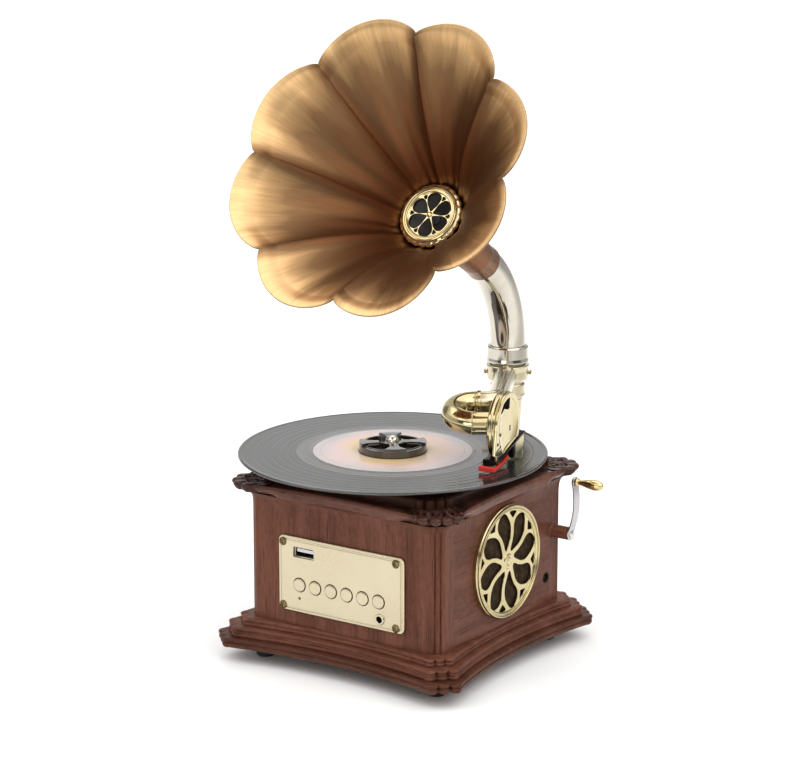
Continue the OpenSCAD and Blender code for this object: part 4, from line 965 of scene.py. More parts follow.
AR = math.radians(38.9)
ring = lathe(fillet([(16.6, z0), (19.05, z0), (19.05, 119.9, 0.3), (18.7, 120.2, 0.2), (16.9, 120.2, 0.25), (16.6, 119.9)], 4), 160, True)
spider = flat([circle(17.2, 120), *[kidney(AR + pi / 4 + k * pi / 2) for k in range(4)], circle(3.64, 40)], 118.3, 120.6, 0.35, 3)


def lugblock(a):
    """Raised end of an arm over the ring."""
    h = math.radians(19.7)
    out = [(19.0 * math.cos(a + t), 19.0 * math.sin(a + t)) for t in np.linspace(-h, h, 15)]
    hi = math.radians(14.0)
    inn = [(14.2 * math.cos(a + t), 14.2 * math.sin(a + t)) for t in np.linspace(hi, -hi, 7)]
    return flat([out + inn], 119.4, 121.6, 0.28, 3)


rise = flat([circle(6.9, 64), circle(3.64, 40)], 118.0, 121.6, 0.5, 4)
arms = []
for k in range(4):
    a = AR + k * pi / 2
    c, s = math.cos(a), math.sin(a)
    pts = [(4.6, -3.0), (9.5, -2.5), (14.6, -3.6), (14.6, 3.6), (9.5, 2.5), (4.6, 3.0)]
    arms.append(flat([[(x * c - y * s, x * s + y * c) for x, y in pts]], 118.6, 121.45, 0.3, 3))
lug1 = moved(lathe(fillet([(0, 121.0), (1.35, 121.0), (1.45, 123.3, 0.1), (1.65, 123.6, 0.1), (2.05, 123.4, 0.2), (2.15, 119.0), (0, 119.0)], 3), 40), T(-5.6 * math.cos(AR) - 5.2 * math.sin(AR), -5.6 * math.sin(AR) + 5.2 * math.cos(AR), 0))
lug2 = moved(lathe(fillet([(0, 121.0), (0.9, 121.0), (1.0, 123.0, 0.1), (1.2, 123.3, 0.1), (1.5, 123.1, 0.2), (1.6, 119.0), (0, 119.0)], 3), 40), T(3.9 * math.cos(AR) - 6.4 * math.sin(AR), 3.9 * math.sin(AR) + 6.4 * math.cos(AR), 0))
piece("adapter_spider", join(ring, spider, rise, *arms, *[lugblock(AR + k * pi / 2) for k in range(4)], lug1, lug2), SPIN, "turntable", ADAPT, ["center_adapter"], 40)
spin = lathe(fillet([(0.0, 124.85), (0.9, 124.75, 0.6), (2.4, 124.0, 1.6), (3.3, 122.6, 1.2), (3.5, 121.0, 0.4), (2.9, 120.4, 0.3), (3.45, 119.9, 0.2), (3.5, 112.6), (7.0, 112.5), (7.0, 110.5), (2.5, 110.5), (2.5, 87.0), (0.0, 87.0)], 6), 80)
piece("spindle_pin", spin, SPIN, "turntable", CHROME, ["spindle"], 40)

# ---------------------------------------------------------------- column, sleeve, collar
colp = fillet([(5.4, 54.0), (9.2, 54.0, 0.3), (9.5, 54.6, 0.3), (9.5, 57.4, 0.4), (8.6, 58.0), (7.6, 58.0), (7.6, 84.6), (8.6, 84.6, 0.3), (8.9, 85.2, 0.4), (8.6, 85.9, 0.3), (7.75, 86.4, 0.3), (7.6, 87.4), (7.6, 104.0), (7.75, 108.0), (8.8, 124.6, 0.3), (8.3, 125.2, 0.2), (7.9, 125.3), (7.9, 155.6), (5.4, 155.6)], 4)
piece("column_tube", lathe(colp, 96, True), COL, "root", GOLD_SATIN, ["column"], 40)
slv = fillet([(7.96, 125.4), (9.5, 125.4, 0.3), (10.3, 126.2, 0.5), (10.3, 127.3, 0.2), (10.0, 127.6, 0.15), (10.0, 128.0, 0.15), (10.3, 128.3, 0.2), (10.3, 133.2, 0.4), (9.4, 134.4, 0.4), (9.4, 145.2, 0.2), (7.96, 145.2)], 4)
piece("swivel_ring", lathe(slv, 96, True), COL, "arm_swivel", GOLD_SATIN, ["swivel_sleeve"], 40)
arm_dir = np.array([58.1 - 67.6, -2.5 - 87.3, 28.4 - 24.2])
arm_len = float(np.linalg.norm(arm_dir))
AYAW = 34.19 + math.degrees(math.atan2(arm_dir[1], arm_dir[0]))
COLLAR = COL @ Rz(AYAW)
clr = fillet([(10.7, 136.3), (11.6, 136.3, 0.3), (12.05, 136.9, 0.4), (12.1, 138.0), (12.1, 141.8, 1.0), (12.55, 144.0, 0.8), (12.7, 144.8, 0.25), (12.4, 145.2, 0.2), (10.7, 145.2)], 5)
sock = moved(lathe(fillet([(0.0, 0.0), (4.2, 0.0), (4.2, 2.7, 0.3), (0.0, 2.8)], 4), 48), T(11.0, 0, 140.2) @ Ry(90))
piece("arm_collar_ring", join(lathe(clr, 128, True), sock), COLLAR, "tonearm", GOLD_SATIN, ["arm_collar"], 40)
ps = join(*[moved(join(lathe([(0, 8.3), (1.18, 8.3), (1.18, 13.0), (0, 13.0)], 32), moved(slotted(1.72, 1.45, 0.6, 0.7), T(0, 0, 12.9))), T(0, 0, 140.2) @ Rx(s * 90)) for s in (-1, 1)])
piece("pivot_screw_pins", ps, COLLAR, "arm_swivel", GOLD, ["pivot_screws"], 35)

# ---------------------------------------------------------------- tonearm tubes
def seams(angles, h=0.055, w=9.0):
    """Tube section with fine raised seams at these angles."""

    def f(a):
        d = math.degrees(a) % 360
        s = 1.0
        for q in angles:
            x = min(abs(d - q), 360 - abs(d - q))
            if x < w:
                s += h * (0.5 + 0.5 * math.cos(pi * x / w))
        return s

    return f


def ease_path(pts, step=0.5, seg=14):
    """3D polyline (x, y, z, radius) with its corners rounded, evenly stepped."""
    P = [np.array(p[:3], float) for p in pts]
    out = [P[0]]
    for i in range(1, len(P) - 1):
        a, b, c, r = P[i - 1], P[i], P[i + 1], pts[i][3]
        u, v = (a - b) / np.linalg.norm(a - b), (c - b) / np.linalg.norm(c - b)
        ang = math.acos(float(u @ v))
        t = r / math.tan(ang / 2)
        for k in range(seg + 1):
            s = k / seg
            p, q = b + u * t * (1 - s), b + v * t * s
            out.append(p + (q - p) * s if False else (b + u * t) * (1 - s) ** 2 + 2 * b * s * (1 - s) * 0.42 / 0.42 + (b + v * t) * s ** 2)
    out.append(P[-1])
    dense = [out[0]]
    for a, b in zip(out[:-1], out[1:]):
        n = max(1, int(np.linalg.norm(b - a) / step))
        dense += [a + (b - a) * k / n for k in range(1, n + 1)]
    return np.array(dense)


start = np.array([67.6, 87.3, 24.2]) + 12.4 * arm_dir / arm_len
path = ease_path([(*start, 0), (58.1, -2.5, 28.4, 7.6), (48.3, -2.82, 28.35, 0)], 1.0)
rad = np.full(len(path), 6.42)
rad[:3] = 4.0, 4.9, 6.0
tube = sweep(path, rad, 96, seams((58, 82, 205, 330), 0.050, 8.0), up=(0, 0, 1))
piece("arm_main_tube", tube, ARM, "tonearm", GOLD_SATIN, ["arm_tube"], 40)

tilt = math.radians(13.1)
bc = np.array([45.6, -14.75, 25.55])
e1, e2 = np.array([1.0, 0, 0]), np.array([0, math.cos(tilt), math.sin(tilt)])
e3 = np.cross(e1, e2)
up_path = [bc + e1 * 3.4 + e2 * 12.25]
for k in range(49):
    a = pi / 2 + pi * k / 48
    up_path.append(bc + 12.25 * (math.cos(a) * e1 + math.sin(a) * e2))
bend = sweep(up_path, 6.45, 96, seams((), 0), up=tuple(e3))
leg_path = [bc - e2 * 12.25 + e1 * x for x in np.linspace(-2.2, 12.6, 24)]
leg = sweep(leg_path, [6.15 + 0.35 * (1 - min(1, i / 1.5)) for i in range(24)], 96, seams((52, 96, 210, 268), 0.055, 7.0), up=(0, 0, 1))


def collar(center, axis, r, w):
    """Raised band round a tube."""
    z = np.array(axis, float) / np.linalg.norm(axis)
    x = np.cross([0, 0, 1.0], z)
    x /= np.linalg.norm(x)
    m = np.eye(4)
    m[:3, 0], m[:3, 1], m[:3, 2], m[:3, 3] = x, np.cross(z, x), z, center
    p = lathe(fillet([(r - 1.6, -w / 2), (r - 0.25, -w / 2, 0.25), (r, -w / 2 + 0.35, 0.3), (r, w / 2 - 0.35, 0.3), (r - 0.25, w / 2, 0.25), (r - 1.6, w / 2)], 3), 72, True)
    return moved(p, m)


bands = [collar(bc + e2 * 12.25 + e1 * 2.5, e1, 7.15, 2.4), collar(bc + e2 * 12.25 + e1 * 0.4, e1, 6.75, 0.8), collar(bc - e2 * 12.25 - e1 * 1.9, e1, 6.58, 1.0)]
piece("gooseneck_bend", join(bend, leg, *bands), ARM, "tonearm", GOLD, ["gooseneck"], 40)

# ---------------------------------------------------------------- sound box (x toward the back, y up, z outward)
FACE_PTS = [(-30, 30), (-30, -15.4), (-21.7, -12.1), (-12.8, -15.1), (19.8, -8.5), (30, -6.4), (30, 30)]


def face_radius(phi, rc=18.9, grow=0.0):
    """Outline of the face: a disc, a pointed tip at lower left, cut along the bottom."""
    c, s = math.cos(phi), math.sin(phi)

    def ray(a, b):
        ex, ey = b[0] - a[0], b[1] - a[1]
        den = c * ey - s * ex
        if abs(den) < 1e-9:
            return None
        t = (a[0] * ey - a[1] * ex) / den
        q = (a[0] * s - a[1] * c) / den
        return t if t > 0 and -1e-9 <= q <= 1 + 1e-9 else None

    r = rc
    tip = [(-18.9, 0.5), (-19.9, -4), (-21.7, -12.1), (-12.8, -15.1), (-6, -12)]
    for a, b in zip(tip[:-1], tip[1:]):
        t = ray(a, b)
        if t is not None:
            r = max(r, t)
    for a, b in (((-24.0, -11.3), (-12.8, -15.1)), ((-12.8, -15.1), (30, -6.4))):
        t = ray(a, b)
        if t is not None:
            r = min(r, t)
    return r + grow


PH = np.linspace(0, 2 * pi, 288, endpoint=False)
RF = np.array([face_radius(p) for p in PH])


def step_h(r):
    """Height of the stepped and dished face at a radius."""
    pts = [(0.0, -1.72), (4, -1.66), (8, -1.46), (11, -1.18), (13.2, -0.82), (14.6, -0.50), (15.1, -0.42), (15.35, -0.10), (15.6, -0.02), (17.0, 0.0), (60, 0.0)]
    return np.interp(r, [p[0] for p in pts], [p[1] for p in pts])


rows = []
back = -1.2
rows.append(np.stack([0.97 * RF * np.cos(PH), 0.97 * RF * np.sin(PH), np.full(len(PH), back - 0.6)], 1))
for d, z in ((0.25, back), (0.0, back + 0.3), (0.0, -0.35), (0.12, -0.1), (0.4, 0.0)):
    rows.append(np.stack([(RF - d) * np.cos(PH), (RF - d) * np.sin(PH), np.full(len(PH), z)], 1))
for k in range(1, 61):
    q = (RF - 0.4) * (1 - k / 61)
    rows.append(np.stack([q * np.cos(PH), q * np.sin(PH), step_h(q)], 1))
V, Fc = loft(rows, cap=False)
Fc.append(tuple(range(len(V) - len(PH), len(V))))
Fc.append(tuple(reversed(range(len(PH)))))
face = (V, Fc)
piece("sound_box_plate", face, BOX, "tonearm", GOLD, ["sound_box_face"], 28)
# painted shade: near-black patches stand for the slot, the small window near the top and the crease at the tip; then
# the screws
marks = [flat([fillet([(5.3, -4.3, 0.4), (6.7, -4.0, 0.4), (6.8, -0.8, 0.4), (5.5, -1.1, 0.4)], 3, True)], -1.9, -1.30, 0.05, 1)]
marks.append(flat([fillet([(-12.5, 9.6, 0.4), (-8.2, 14.2, 1.2), (-2.6, 15.9, 1.0), (1.9, 16.0, 0.5), (1.5, 13.0, 0.4), (1.2, 9.9, 0.5), (-1.4, 9.7, 0.5), (-2.8, 12.4, 0.8), (-6.5, 11.6, 0.8), (-10.6, 9.6, 0.6)], 4, True)], -1.2, 0.06, 0.05, 1))
marks.append(flat([fillet([(-18.4, -9.6, 0.2), (-12.0, -8.2, 0.2), (-11.8, -8.9, 0.2), (-18.2, -10.4, 0.2)], 3, True)], -0.2, 0.05, 0.04, 1))
piece("sound_box_painted_openings", join(*marks), BOX, "tonearm", OPENING_SHADE, sharp=35)
scr2 = [moved(slotted(0.95, 0.5, 0.3, 0.35, -0.4), T(-13.0, -1.9, 0.0) @ Rz(30)), moved(slotted(0.95, 0.5, 0.3, 0.35, -0.4), T(-17.0, -6.5, 0.0) @ Rz(80))]
piece("sound_box_face_screws", join(*scr2), BOX, "tonearm", BRONZE_DK, sharp=35)
# drum behind the face with a stepped rim
drum = fillet([(0, -8.0), (13.6, -8.0, 0.8), (15.2, -7.2, 0.6), (16.3, -6.6, 0.4), (18.8, -6.1, 0.4), (19.5, -5.4, 0.4), (19.5, -4.2, 0.4), (18.95, -3.7, 0.2), (18.75, -3.2, 0.15), (19.3, -2.8, 0.3), (19.3, -1.9, 0.3), (18.6, -1.4, 0.2), (0, -1.4)], 4)
V, Fc = lathe(drum, 160)
V[:, 1] = np.maximum(V[:, 1], -14.1)
side = flat([fillet([(13.4, -12.5, 0.2), (26.5, -10.3, 0.3), (26.8, -14.5, 1.0), (24.4, -18.6, 0.6), (19.0, -18.9, 3.0), (13.6, -19.4, 0.3)], 4, True)], -6.0, -0.4, 0.3, 3)
neckp = flat([fillet([(12.0, -8.0, 0.2), (19.0, -7.0, 0.2), (19.5, -12.5, 0.2), (13.5, -14.0, 0.2)], 3, True)], -6.2, -4.9, 0.2, 2)
piece("sound_box_side_plate", side, BOX, "tonearm", SIDE_BRASS, sharp=30)
piece("sound_box_drum", join((V, Fc), neckp), BOX, "tonearm", GOLD, ["sound_box_body"], 30)
# thin dark carrier under the face, the post and the cartridge block with its clip
carrier = flat([fillet([(-20.6, -17.4, 0.2), (-12.8, -16.35, 0.2), (26.5, -9.9, 0.2), (26.5, -8.95, 0.2), (20.2, -9.75, 0.3), (-12.8, -15.25, 0.4), (-20.6, -15.4, 0.2)], 3, True)], -4.4, 0.5, 0.15, 2)
postp = flat([fillet([(8.4, -12.4, 0.2), (11.6, -11.9, 0.2), (11.8, -20.4, 0.3), (8.8, -20.6, 0.3)], 3, True)], -3.4, -0.3, 0.25, 2)
block = flat([fillet([(-20.4, -18.35, 0.4), (-20.4, -14.5, 0.5), (-6.6, -14.5, 0.4), (3.4, -15.0, 0.4), (4.4, -17.2, 0.4), (-6.4, -18.3, 0.4)], 3, True)], -7.6, -1.5, 0.45, 3)
piece("cartridge_block", join(carrier, postp, block), BOX, "tonearm", BLACK, ["cartridge"], 32)
clip = flat([fillet([(-20.9, -11.9, 0.3), (-16.9, -13.1, 0.3), (-16.5, -15.2, 0.3), (-17.6, -16.9, 0.4), (-19.8, -16.7, 0.4), (-20.7, -14.5, 0.4)], 4, True)], -0.6, 0.55, 0.28, 3)
piece("cartridge_clip", clip, BOX, "tonearm", GOLD, sharp=35)
# red stylus holder: a rising bar and a front bar
bar = flat([fillet([(-22.5, -20.8, 0.6), (-21.0, -21.2, 0.5), (-8, -20.0, 3), (0.6, -18.2, 0.4), (0.4, -16.9, 0.4), (-8, -18.1, 3), (-19.8, -18.6, 0.8), (-22.4, -18.6, 0.5)], 4, True)], -1.6, 0.45, 0.5, 3)
front = moved(flat([fillet([(-9.3, -20.9, 0.6), (-0.1, -21.2, 0.4), (-0.1, -18.6, 0.4), (-9.3, -17.8, 0.6)], 3, True)], -1.2, 1.2, 0.5, 3), T(-21.4, 0, 0) @ Ry(-90))
Vf, Ff = front
piece("stylus_holder", join(bar, (Vf, Ff)), BOX, "tonearm", RED, ["stylus"], 35)

# ---------------------------------------------------------------- ferrule, elbow, neck
fer = fillet([(7.96, 146.6), (12.0, 146.6, 0.2), (12.6, 147.1, 0.25), (12.55, 148.0, 0.5), (12.25, 149.6, 0.5), (12.1, 155.7, 0.3), (11.7, 156.6, 0.3), (11.0, 156.8), (6.0, 156.8), (6.0, 155.8), (7.96, 155.8)], 4)
piece("ferrule_ring", lathe(fer, 128, True), HORN, "horn", CHROME, ["horn_ferrule"], 35)
pth = []
for k in range(73):
    a = math.radians(ELB_A) * k / 72
    pth.append((ELB_R * (1 - math.cos(a)), 0, ELB_Z + ELB_R * math.sin(a)))
P = np.array(pth)
outer = sweep(P, 10.4, 96, None, (1, 0, 0), cap=False)
inner_t = sweep(P, 9.3, 96, None, (1, 0, 0), cap=False)
nO = 96
F2 = [(j, (j + 1) % nO, nO * 73 + (j + 1) % nO, nO * 73 + j) for j in range(nO)]
o = nO * 72
F2 += [(o + j, o + (j + 1) % nO, nO * 73 + o + (j + 1) % nO, nO * 73 + o + j) for j in range(nO)]
V, Fc = join(outer, inner_t)
piece("elbow_pipe", (V, Fc + F2), HORN, "horn", CHROME, ["horn_elbow"], 45)
nk = fillet([(8.2, -8.0), (9.2, -8.0), (9.2, 0.02), (10.42, 0.02, 0.1), (10.9, 1.2, 0.3), (10.75, 2.4, 0.5), (10.5, 8.0, 2.0), (10.55, 14.6, 0.3), (8.9, 15.0), (8.9, 0.5), (8.2, 0.0)], 4)
piece("neck_flange", lathe(nk, 96, True), BELL, "horn", NECK_MAT, ["horn_neck"], 40)


# ---------------------------------------------------------------- the eight-petal bell
def fold_r(w):
    w = np.asarray(w, float)
    t = np.clip((w - 10) / 57, 0, None)
    a = 9.9 + 8.6 * (0.35 * t + 0.65 * t ** 3)
    x = (w - 67) / 72.8
    return np.where(w < 67, a, 18.5 + 35 * x + 25.3 * x * x)


def swell(w):
    return 10.9 * np.clip((np.asarray(w, float) - 40) / 99.8, 0, None) ** 1.35


SEG = 56
ang = np.arange(8 * SEG) * 2 * pi / (8 * SEG)
f = (np.arange(8 * SEG) % SEG) / SEG
lobe = np.sin(pi * f) ** 0.75
LIP = 3.2


def flute_d(w):
    """Depth of the soft flutes, fading toward the rim."""
    w = np.asarray(w, float)
    return 0.62 * np.clip((w - 34) / 22, 0, 1) * np.clip((128 - w) / 46, 0, 1)


FL = 0.5 - 0.5 * np.cos(2 * pi * 3 * f)
FL = FL * np.clip(np.minimum(f, 1 - f) / 0.05, 0, 1)


def sheet(w):
    """Mid surface radius round one ring, before the lip."""
    return fold_r(w) + swell(w) * lobe - flute_d(w) * (1 - FL) * lobe


def bell_surface(off):
    """Rings from the throat to the lip; off is half the sheet's thickness, inward or outward."""
    W = np.concatenate([np.linspace(10, 60, 26, endpoint=False), np.linspace(60, 131.0, 58)])
    out = []
    for w in W:
        s = (sheet(w + 0.5) - sheet(w - 0.5))
        nrm = np.sqrt(1 + s * s)
        r = sheet(w) + off / nrm
        z = w - off * s / nrm
        out.append(np.stack([r * np.cos(ang), r * np.sin(ang), np.full(len(ang), 1.0) * z], 1))
    return W, out


W, inner_rows = bell_surface(-0.55)
_, outer_rows = bell_surface(0.55)
# lip: the sheet turns outward and rolls back in a fine bead
w_end = 131.0
r_end = sheet(w_end)
slope = sheet(w_end + 0.5) - sheet(w_end - 0.5)
R_rim = 78.4 + (89.5 - 78.4) * lobe
lip_in, lip_out = [], []


def lip(t, off):
    """Cubic from the end of the flare, leaving in its direction, to the rim, arriving almost flat."""
    P0 = np.stack([r_end + off / np.sqrt(1 + slope ** 2), w_end - off * slope / np.sqrt(1 + slope ** 2)], 1)
    P3_ = np.stack([R_rim - 0.9, np.full(len(ang), 138.75 - off * 0.9)], 1)
    L_ = np.linalg.norm(P3_ - P0, axis=1)[:, None]
    d0 = np.stack([slope, np.ones(len(ang))], 1)
    d0 /= np.linalg.norm(d0, axis=1)[:, None]
    d3 = np.array([[0.985, 0.17]])
    P1_, P2_ = P0 + d0 * L_ * 0.36, P3_ - d3 * L_ * 0.34
    Q = P0 * (1 - t) ** 3 + 3 * P1_ * t * (1 - t) ** 2 + 3 * P2_ * t * t * (1 - t) + P3_ * t ** 3
    return np.stack([Q[:, 0] * np.cos(ang), Q[:, 0] * np.sin(ang), Q[:, 1]], 1)


for t in np.linspace(0, 1, 20)[1:]:
    lip_in.append(lip(t, -0.5))
for a in np.linspace(96, -110, 13):
    r = R_rim - 0.62 + 0.62 * math.cos(math.radians(a))
    z = 138.75 + 0.62 * math.sin(math.radians(a))
    lip_out.append(np.stack([r * np.cos(ang), r * np.sin(ang), np.full(len(ang), z)], 1))
for t in np.linspace(1, 0, 14)[1:]:
    lip_out.append(lip(t, 0.5))
rings = inner_rows + lip_in + lip_out + list(reversed(outer_rows))
V = np.concatenate(rings)
Fc = grid(len(rings), len(ang), True, True)
# painted shade masks: along the folds, in the flute hollows and on the rim bead
fd = np.tile(np.clip(1 - np.minimum(f, 1 - f) / 0.15, 0, 1) ** 1.8, len(rings))
wz = np.clip(V[:, 2], 10, 139)
fl = np.tile(1 - FL, len(rings)) * np.clip((wz - 34) / 22, 0, 1) * np.clip((134 - wz) / 40, 0, 1)
rim_bead_shade_v = np.zeros(len(V))
k0 = (len(inner_rows) + len(lip_in) + 2) * len(ang)
rim_bead_shade_v[k0 : k0 + 9 * len(ang)] = 1.0
piece("horn_petals", (V, Fc), BELL, "horn", HORN_MAT, ["horn_bell"], 50, merge=False, attrs={"fold": fd, "flute_shade": fl, "rim_bead_shade": rim_bead_shade_v})

# ---------------------------------------------------------------- throat ornament
nb = 24
A = np.arange(480) * 2 * pi / 480
bead = 0.55 * np.abs(np.cos(A * nb / 2)) ** 0.7
orn = []
for r, z, b in ((15.2, 68.6, 0), (17.4, 68.6, 0), (18.3, 68.9, 0.6), (18.6, 69.7, 1.0), (18.3, 70.5, 1.0), (17.7, 71.0, 0.7), (17.2, 71.2, 0.0), (16.7, 71.9, 0.0), (16.0, 72.3, 0.0), (15.3, 72.1, 0.0), (14.9, 71.5, 0.0), (14.6, 71.5, 0.0), (14.3, 71.9, 0.0), (13.7, 72.0, 0.0), (13.2, 71.6, 0.0), (13.1, 70.4, 0.0)):
    rr = r + b * bead
    orn.append(np.stack([rr * np.cos(A), rr * np.sin(A), np.full(480, z)], 1))
ornring = (np.concatenate(orn), grid(len(orn), 480, True, True))


def teardrop(k):
    c, s = math.cos(k * pi / 3), math.sin(k * pi / 3)
    lp = smooth_loop([(2.1, 0.0), (4.0, 1.75), (7.0, 3.65), (10.2, 4.3), (12.4, 2.8), (13.1, 0.0), (12.4, -2.8), (10.2, -4.3), (7.0, -3.65), (4.0, -1.75)], 6)
    return [(x * c - y * s, x * s + y * c) for x, y in lp]


def spandrel(k):
    c, s = math.cos(k * pi / 3 + pi / 6), math.sin(k * pi / 3 + pi / 6)
    lp = fillet([(9.8, 0.0, 0.3), (12.2, 1.35, 0.3), (12.75, 0.0, 0.6), (12.2, -1.35, 0.3)], 4, True)
    return [(x * c - y * s, x * s + y * c) for x, y in lp]


flower = flat([circle(13.6, 96)] + [teardrop(k) for k in range(6)] + [spandrel(k) for k in range(6)], 70.2, 71.3, 0.26, 3)
btn = lathe(fillet([(0.0, 72.3), (0.8, 72.2, 0.5), (1.7, 71.5, 0.4), (1.9, 70.8), (0.0, 70.6)], 4), 48)
piece("throat_flower", join(ornring, flower, btn), BELL, "horn", GOLD, ["horn_ornament"], 40)
cone = lathe(fillet([(0.0, 66.2), (3.4, 65.4, 1.5), (4.2, 63.6, 0.4), (12.6, 69.2, 0.4), (14.4, 69.4, 0.4), (15.4, 68.5), (15.4, 62.0), (9.0, 56.0), (9.0, 50.0), (0.0, 50.0)], 5), 96)
piece("throat_speaker", cone, BELL, "horn", SPEAKER, ["horn_speaker"], 35)

# ---------------------------------------------------------------- carried-over CAD nodes
nodes = frame["nodes"]


def dress(name, mat, bevel=0.0):
    o = nodes[name]
    o.data.materials.clear()
    o.data.materials.append(mat)
    if bevel:
        w = o.modifiers.new("weld", "WELD")
        w.merge_threshold = 1e-5
        b = o.modifiers.new("edge", "BEVEL")
        b.width, b.segments, b.limit_method, b.angle_limit = bevel / 1000, 2, "ANGLE", math.radians(38)
        b.harden_normals = True


for n_, m_, b_ in (
    ("rubber_feet", RUBBER, 0.35), ("base_screws", STEEL, 0), ("front_wall", WOOD_Z, 0), ("rear_wall", WOOD_Z, 0), ("left_wall", WOOD_Z, 0),
    ("right_wall", WOOD_Y, 0), ("button_board", CIRCUIT, 0), ("side_speaker", SPEAKER, 0), ("main_board", CIRCUIT, 0), ("battery_pack", WRAP, 0),
    ("drive_motor", STEEL, 0), ("motor_pulley", GOLD_SATIN, 0), ("drive_belt", RUBBER, 0), ("platter", ALU, 0.2), ("slip_mat", RUBBER, 0.15),
    ("bearing_bush", GOLD_SATIN, 0), ("rear_bracket", GOLD_SATIN, 0.5), ("bracket_screws", STEEL, 0),
):
    dress(n_, m_, b_)

# ---------------------------------------------------------------- floor, light, camera
sc = bpy.context.scene
fm = Mat("floor_pale", Roughness=0.75, Specular_IOR_Level=0.2)
fx, fy, fz = fm.xyz()
f_rt = fm.math("ADD", fm.math("MULTIPLY", fx, 0.82719), fm.math("MULTIPLY", fy, 0.56192))
f_lat = fm.math("MAXIMUM", f_rt, fm.math("MULTIPLY", f_rt, -0.45))
f_dep = fm.math("ADD", fm.math("MULTIPLY", fx, -0.56192), fm.math("MULTIPLY", fy, 0.82719))
f_d1 = fm.math("SUBTRACT", f_lat, fm.math("ADD", fm.math("MULTIPLY", f_dep, 0.20), 0.40))
f_d2 = fm.math("SUBTRACT", fm.math("MULTIPLY", f_dep, -1.0), 0.42)
f_d = fm.math("ADD", fm.math("MAXIMUM", f_d1, f_d2), fm.math("MULTIPLY", fm.noise(fm.obj, 3.0, 3, 0.5), 0.03))
fm.set("Base Color", fm.ramp(fm.remap(f_d, 0.0, 0.60, 0.0, 1.0), [(0.0, (0.955, 0.955, 0.955)), (0.5, (0.56, 0.56, 0.56)), (1.0, (0.38, 0.38, 0.38))], "EASE"))
me = bpy.data.meshes.new("floor")
L = 14.0
# a wide floor that rises far behind the object
prof = [(-L, 0.0)] + [(5.0 + 2.5 * math.sin(math.radians(a)), 2.5 - 2.5 * math.cos(math.radians(a))) for a in range(0, 91, 9)] + [(7.5, 8.0)]
aw = np.array([-0.56192, 0.82719])
cr = np.array([0.82719, 0.56192])
V = []
for p, h in prof:
    for sgn in (-L, L):
        q = aw * p + cr * sgn
        V.append((q[0], q[1], h))
me.from_pydata(V, [], [(2 * i, 2 * i + 1, 2 * i + 3, 2 * i + 2) for i in range(len(prof) - 1)])
me.shade_smooth()
floor = bpy.data.objects.new("floor", me)
sc.collection.objects.link(floor)
me.materials.append(fm.m)

world = bpy.data.worlds.new("studio")
sc.world = world
world.use_nodes = True
wn = world.node_tree
wn.nodes.clear()
wo = wn.nodes.new("ShaderNodeOutputWorld")
bg = wn.nodes.new("ShaderNodeBackground")
tc = wn.nodes.new("ShaderNodeTexCoord")


def wnode(kind, ins=None, **props):
    n = wn.nodes.new("ShaderNode" + kind)
    for k, v in props.items():
        setattr(n, k, v)
    for k, v in (ins or {}).items():
        if isinstance(v, bpy.types.NodeSocket):
            wn.links.new(v, n.inputs[k])
        else:
            n.inputs[k].default_value = v
    return n


def wramp(fac, stops):
    n = wnode("ValToRGB", {"Fac": fac})
    e = n.color_ramp.elements
    while len(e) < len(stops):
        e.new(0.5)
    for q, (p, c) in zip(e, stops):
        q.position, q.color = p, (c, c, c, 1)
    return n.outputs[0]


# a bright studio: white behind and above the object, greyer with two dark flags in front of it
to_front = wnode("VectorMath", {0: tc.outputs["Generated"], 1: (0.56192, -0.82719, 0.0)}, operation="DOT_PRODUCT").outputs["Value"]
to_right = wnode("VectorMath", {0: tc.outputs["Generated"], 1: (0.82719, 0.56192, 0.0)}, operation="DOT_PRODUCT").outputs["Value"]
up_z = wnode("SeparateXYZ", {0: tc.outputs["Generated"]}).outputs[2]
az = wnode("Math", {0: to_right, 1: to_front}, operation="ARCTAN2").outputs[0]
azn = wnode("MapRange", {0: az, 1: -pi, 2: pi, 3: 0.0, 4: 1.0}).outputs[0]
deg = lambda a: (a + 180) / 360
side_l = wramp(azn, [(deg(a), c) for a, c in ((-180, 1.25), (-160, 1.15), (-130, 0.62), (-90, 0.55), (-62, 0.42), (-54, 0.10), (-20, 0.07), (-13, 0.50), (20, 0.52), (31, 0.08), (66, 0.10), (84, 0.50), (120, 0.44), (160, 1.15), (180, 1.25))])
soft_az = wramp(azn, [(deg(a), c) for a, c in ((-180, 0.0), (-128, 0.0), (-100, 1.0), (-55, 1.0), (-30, 0.0), (180, 0.0))])
soft_z = wramp(up_z, [(0.0, 0.0), (0.36, 0.0), (0.52, 1.0), (0.80, 1.0), (0.92, 0.0)])
soft = wnode("Math", {0: soft_az, 1: soft_z}, operation="MULTIPLY").outputs[0]
upper = wnode("MapRange", {0: up_z, 1: 0.62, 2: 0.80, 3: 0.0, 4: 1.0}).outputs[0]
mixn = wnode("Mix", {}, data_type="RGBA")
for key, v in (("Factor", upper), ("A", side_l)):
    wn.links.new(v, next(q for q in mixn.inputs if q.name == key and q.enabled))
next(q for q in mixn.inputs if q.name == "B" and q.enabled).default_value = (0.66, 0.66, 0.66, 1)
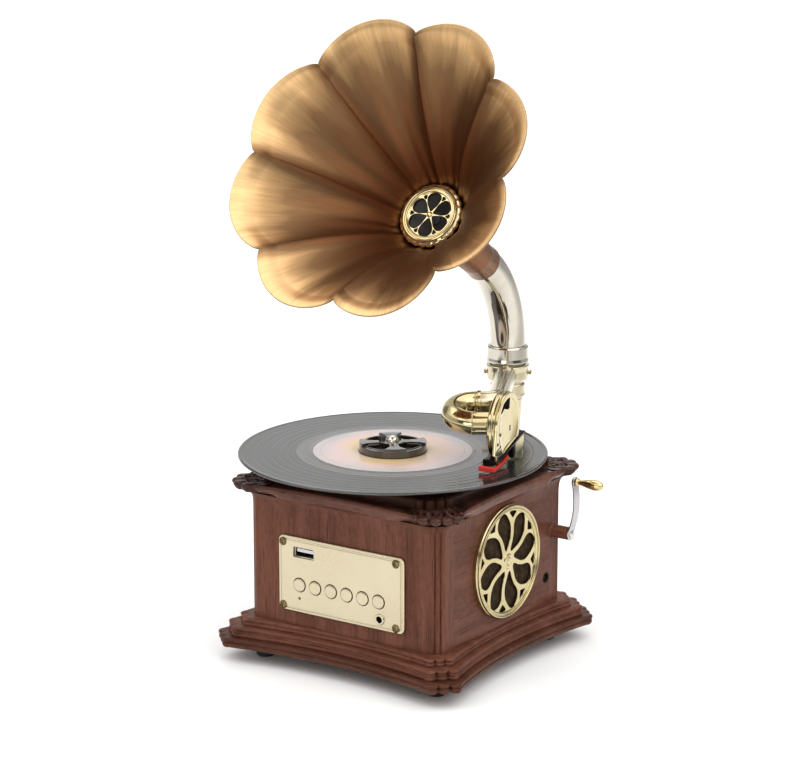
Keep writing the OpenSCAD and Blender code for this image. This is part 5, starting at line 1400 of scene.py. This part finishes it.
lift = wnode("Mix", {}, data_type="RGBA")
for key, v in (("Factor", soft), ("A", next(q for q in mixn.outputs if q.enabled))):
    wn.links.new(v, next(q for q in lift.inputs if q.name == key and q.enabled))
next(q for q in lift.inputs if q.name == "B" and q.enabled).default_value = (1.15, 1.12, 1.07, 1)
wn.links.new(next(q for q in lift.outputs if q.enabled), bg.inputs[0])
bg.inputs[1].default_value = 1.15
wn.links.new(bg.outputs[0], wo.inputs[0])


def area(name, loc, target, size, power, col=(1, 1, 1), size_y=None):
    d = bpy.data.lights.new(name, "AREA")
    d.energy, d.color = power, col
    d.shape = "RECTANGLE"
    d.size, d.size_y = size, size_y or size
    o = bpy.data.objects.new(name, d)
    o.visible_camera = False
    sc.collection.objects.link(o)
    o.location = loc
    o.rotation_euler = (Vector(target) - Vector(loc)).to_track_quat("-Z", "Y").to_euler()
    return o


def at(rt, back, up):
    """A point by how far right of, behind and above the object it is, as the camera stands."""
    q = cr * rt + aw * back
    return (q[0], q[1], up)


area("key_soft", at(1.35, -1.2, 1.35), (0, 0, 0.15), 1.7, 8, (1.0, 0.98, 0.95))
area("low_fill", at(-0.55, -1.3, 0.14), (0, 0, 0.32), 0.7, 3.6, (1.0, 0.98, 0.95))
sun = bpy.data.lights.new("overhead_soft", "SUN")
sun.energy, sun.angle = 2.2, math.radians(110)
so = bpy.data.objects.new("overhead_soft", sun)
sc.collection.objects.link(so)
so.rotation_euler = (math.radians(8), math.radians(10), 0)

cam = bpy.data.cameras.new("camera")
cam.lens, cam.sensor_width, cam.sensor_fit = 129.32, 36.0, "HORIZONTAL"
cam.clip_start, cam.clip_end = 0.05, 60
co = bpy.data.objects.new("camera", cam)
sc.collection.objects.link(co)
co.location = (0.8651, -1.2988, 0.5415)
co.rotation_mode = "QUATERNION"
co.rotation_quaternion = Vector((-0.54538, 0.80283, -0.24087)).to_track_quat("-Z", "Y")
sc.camera = co
sc.view_settings.view_transform = "Standard"
sc.view_settings.look = "None"
sc.view_settings.exposure = 0.0
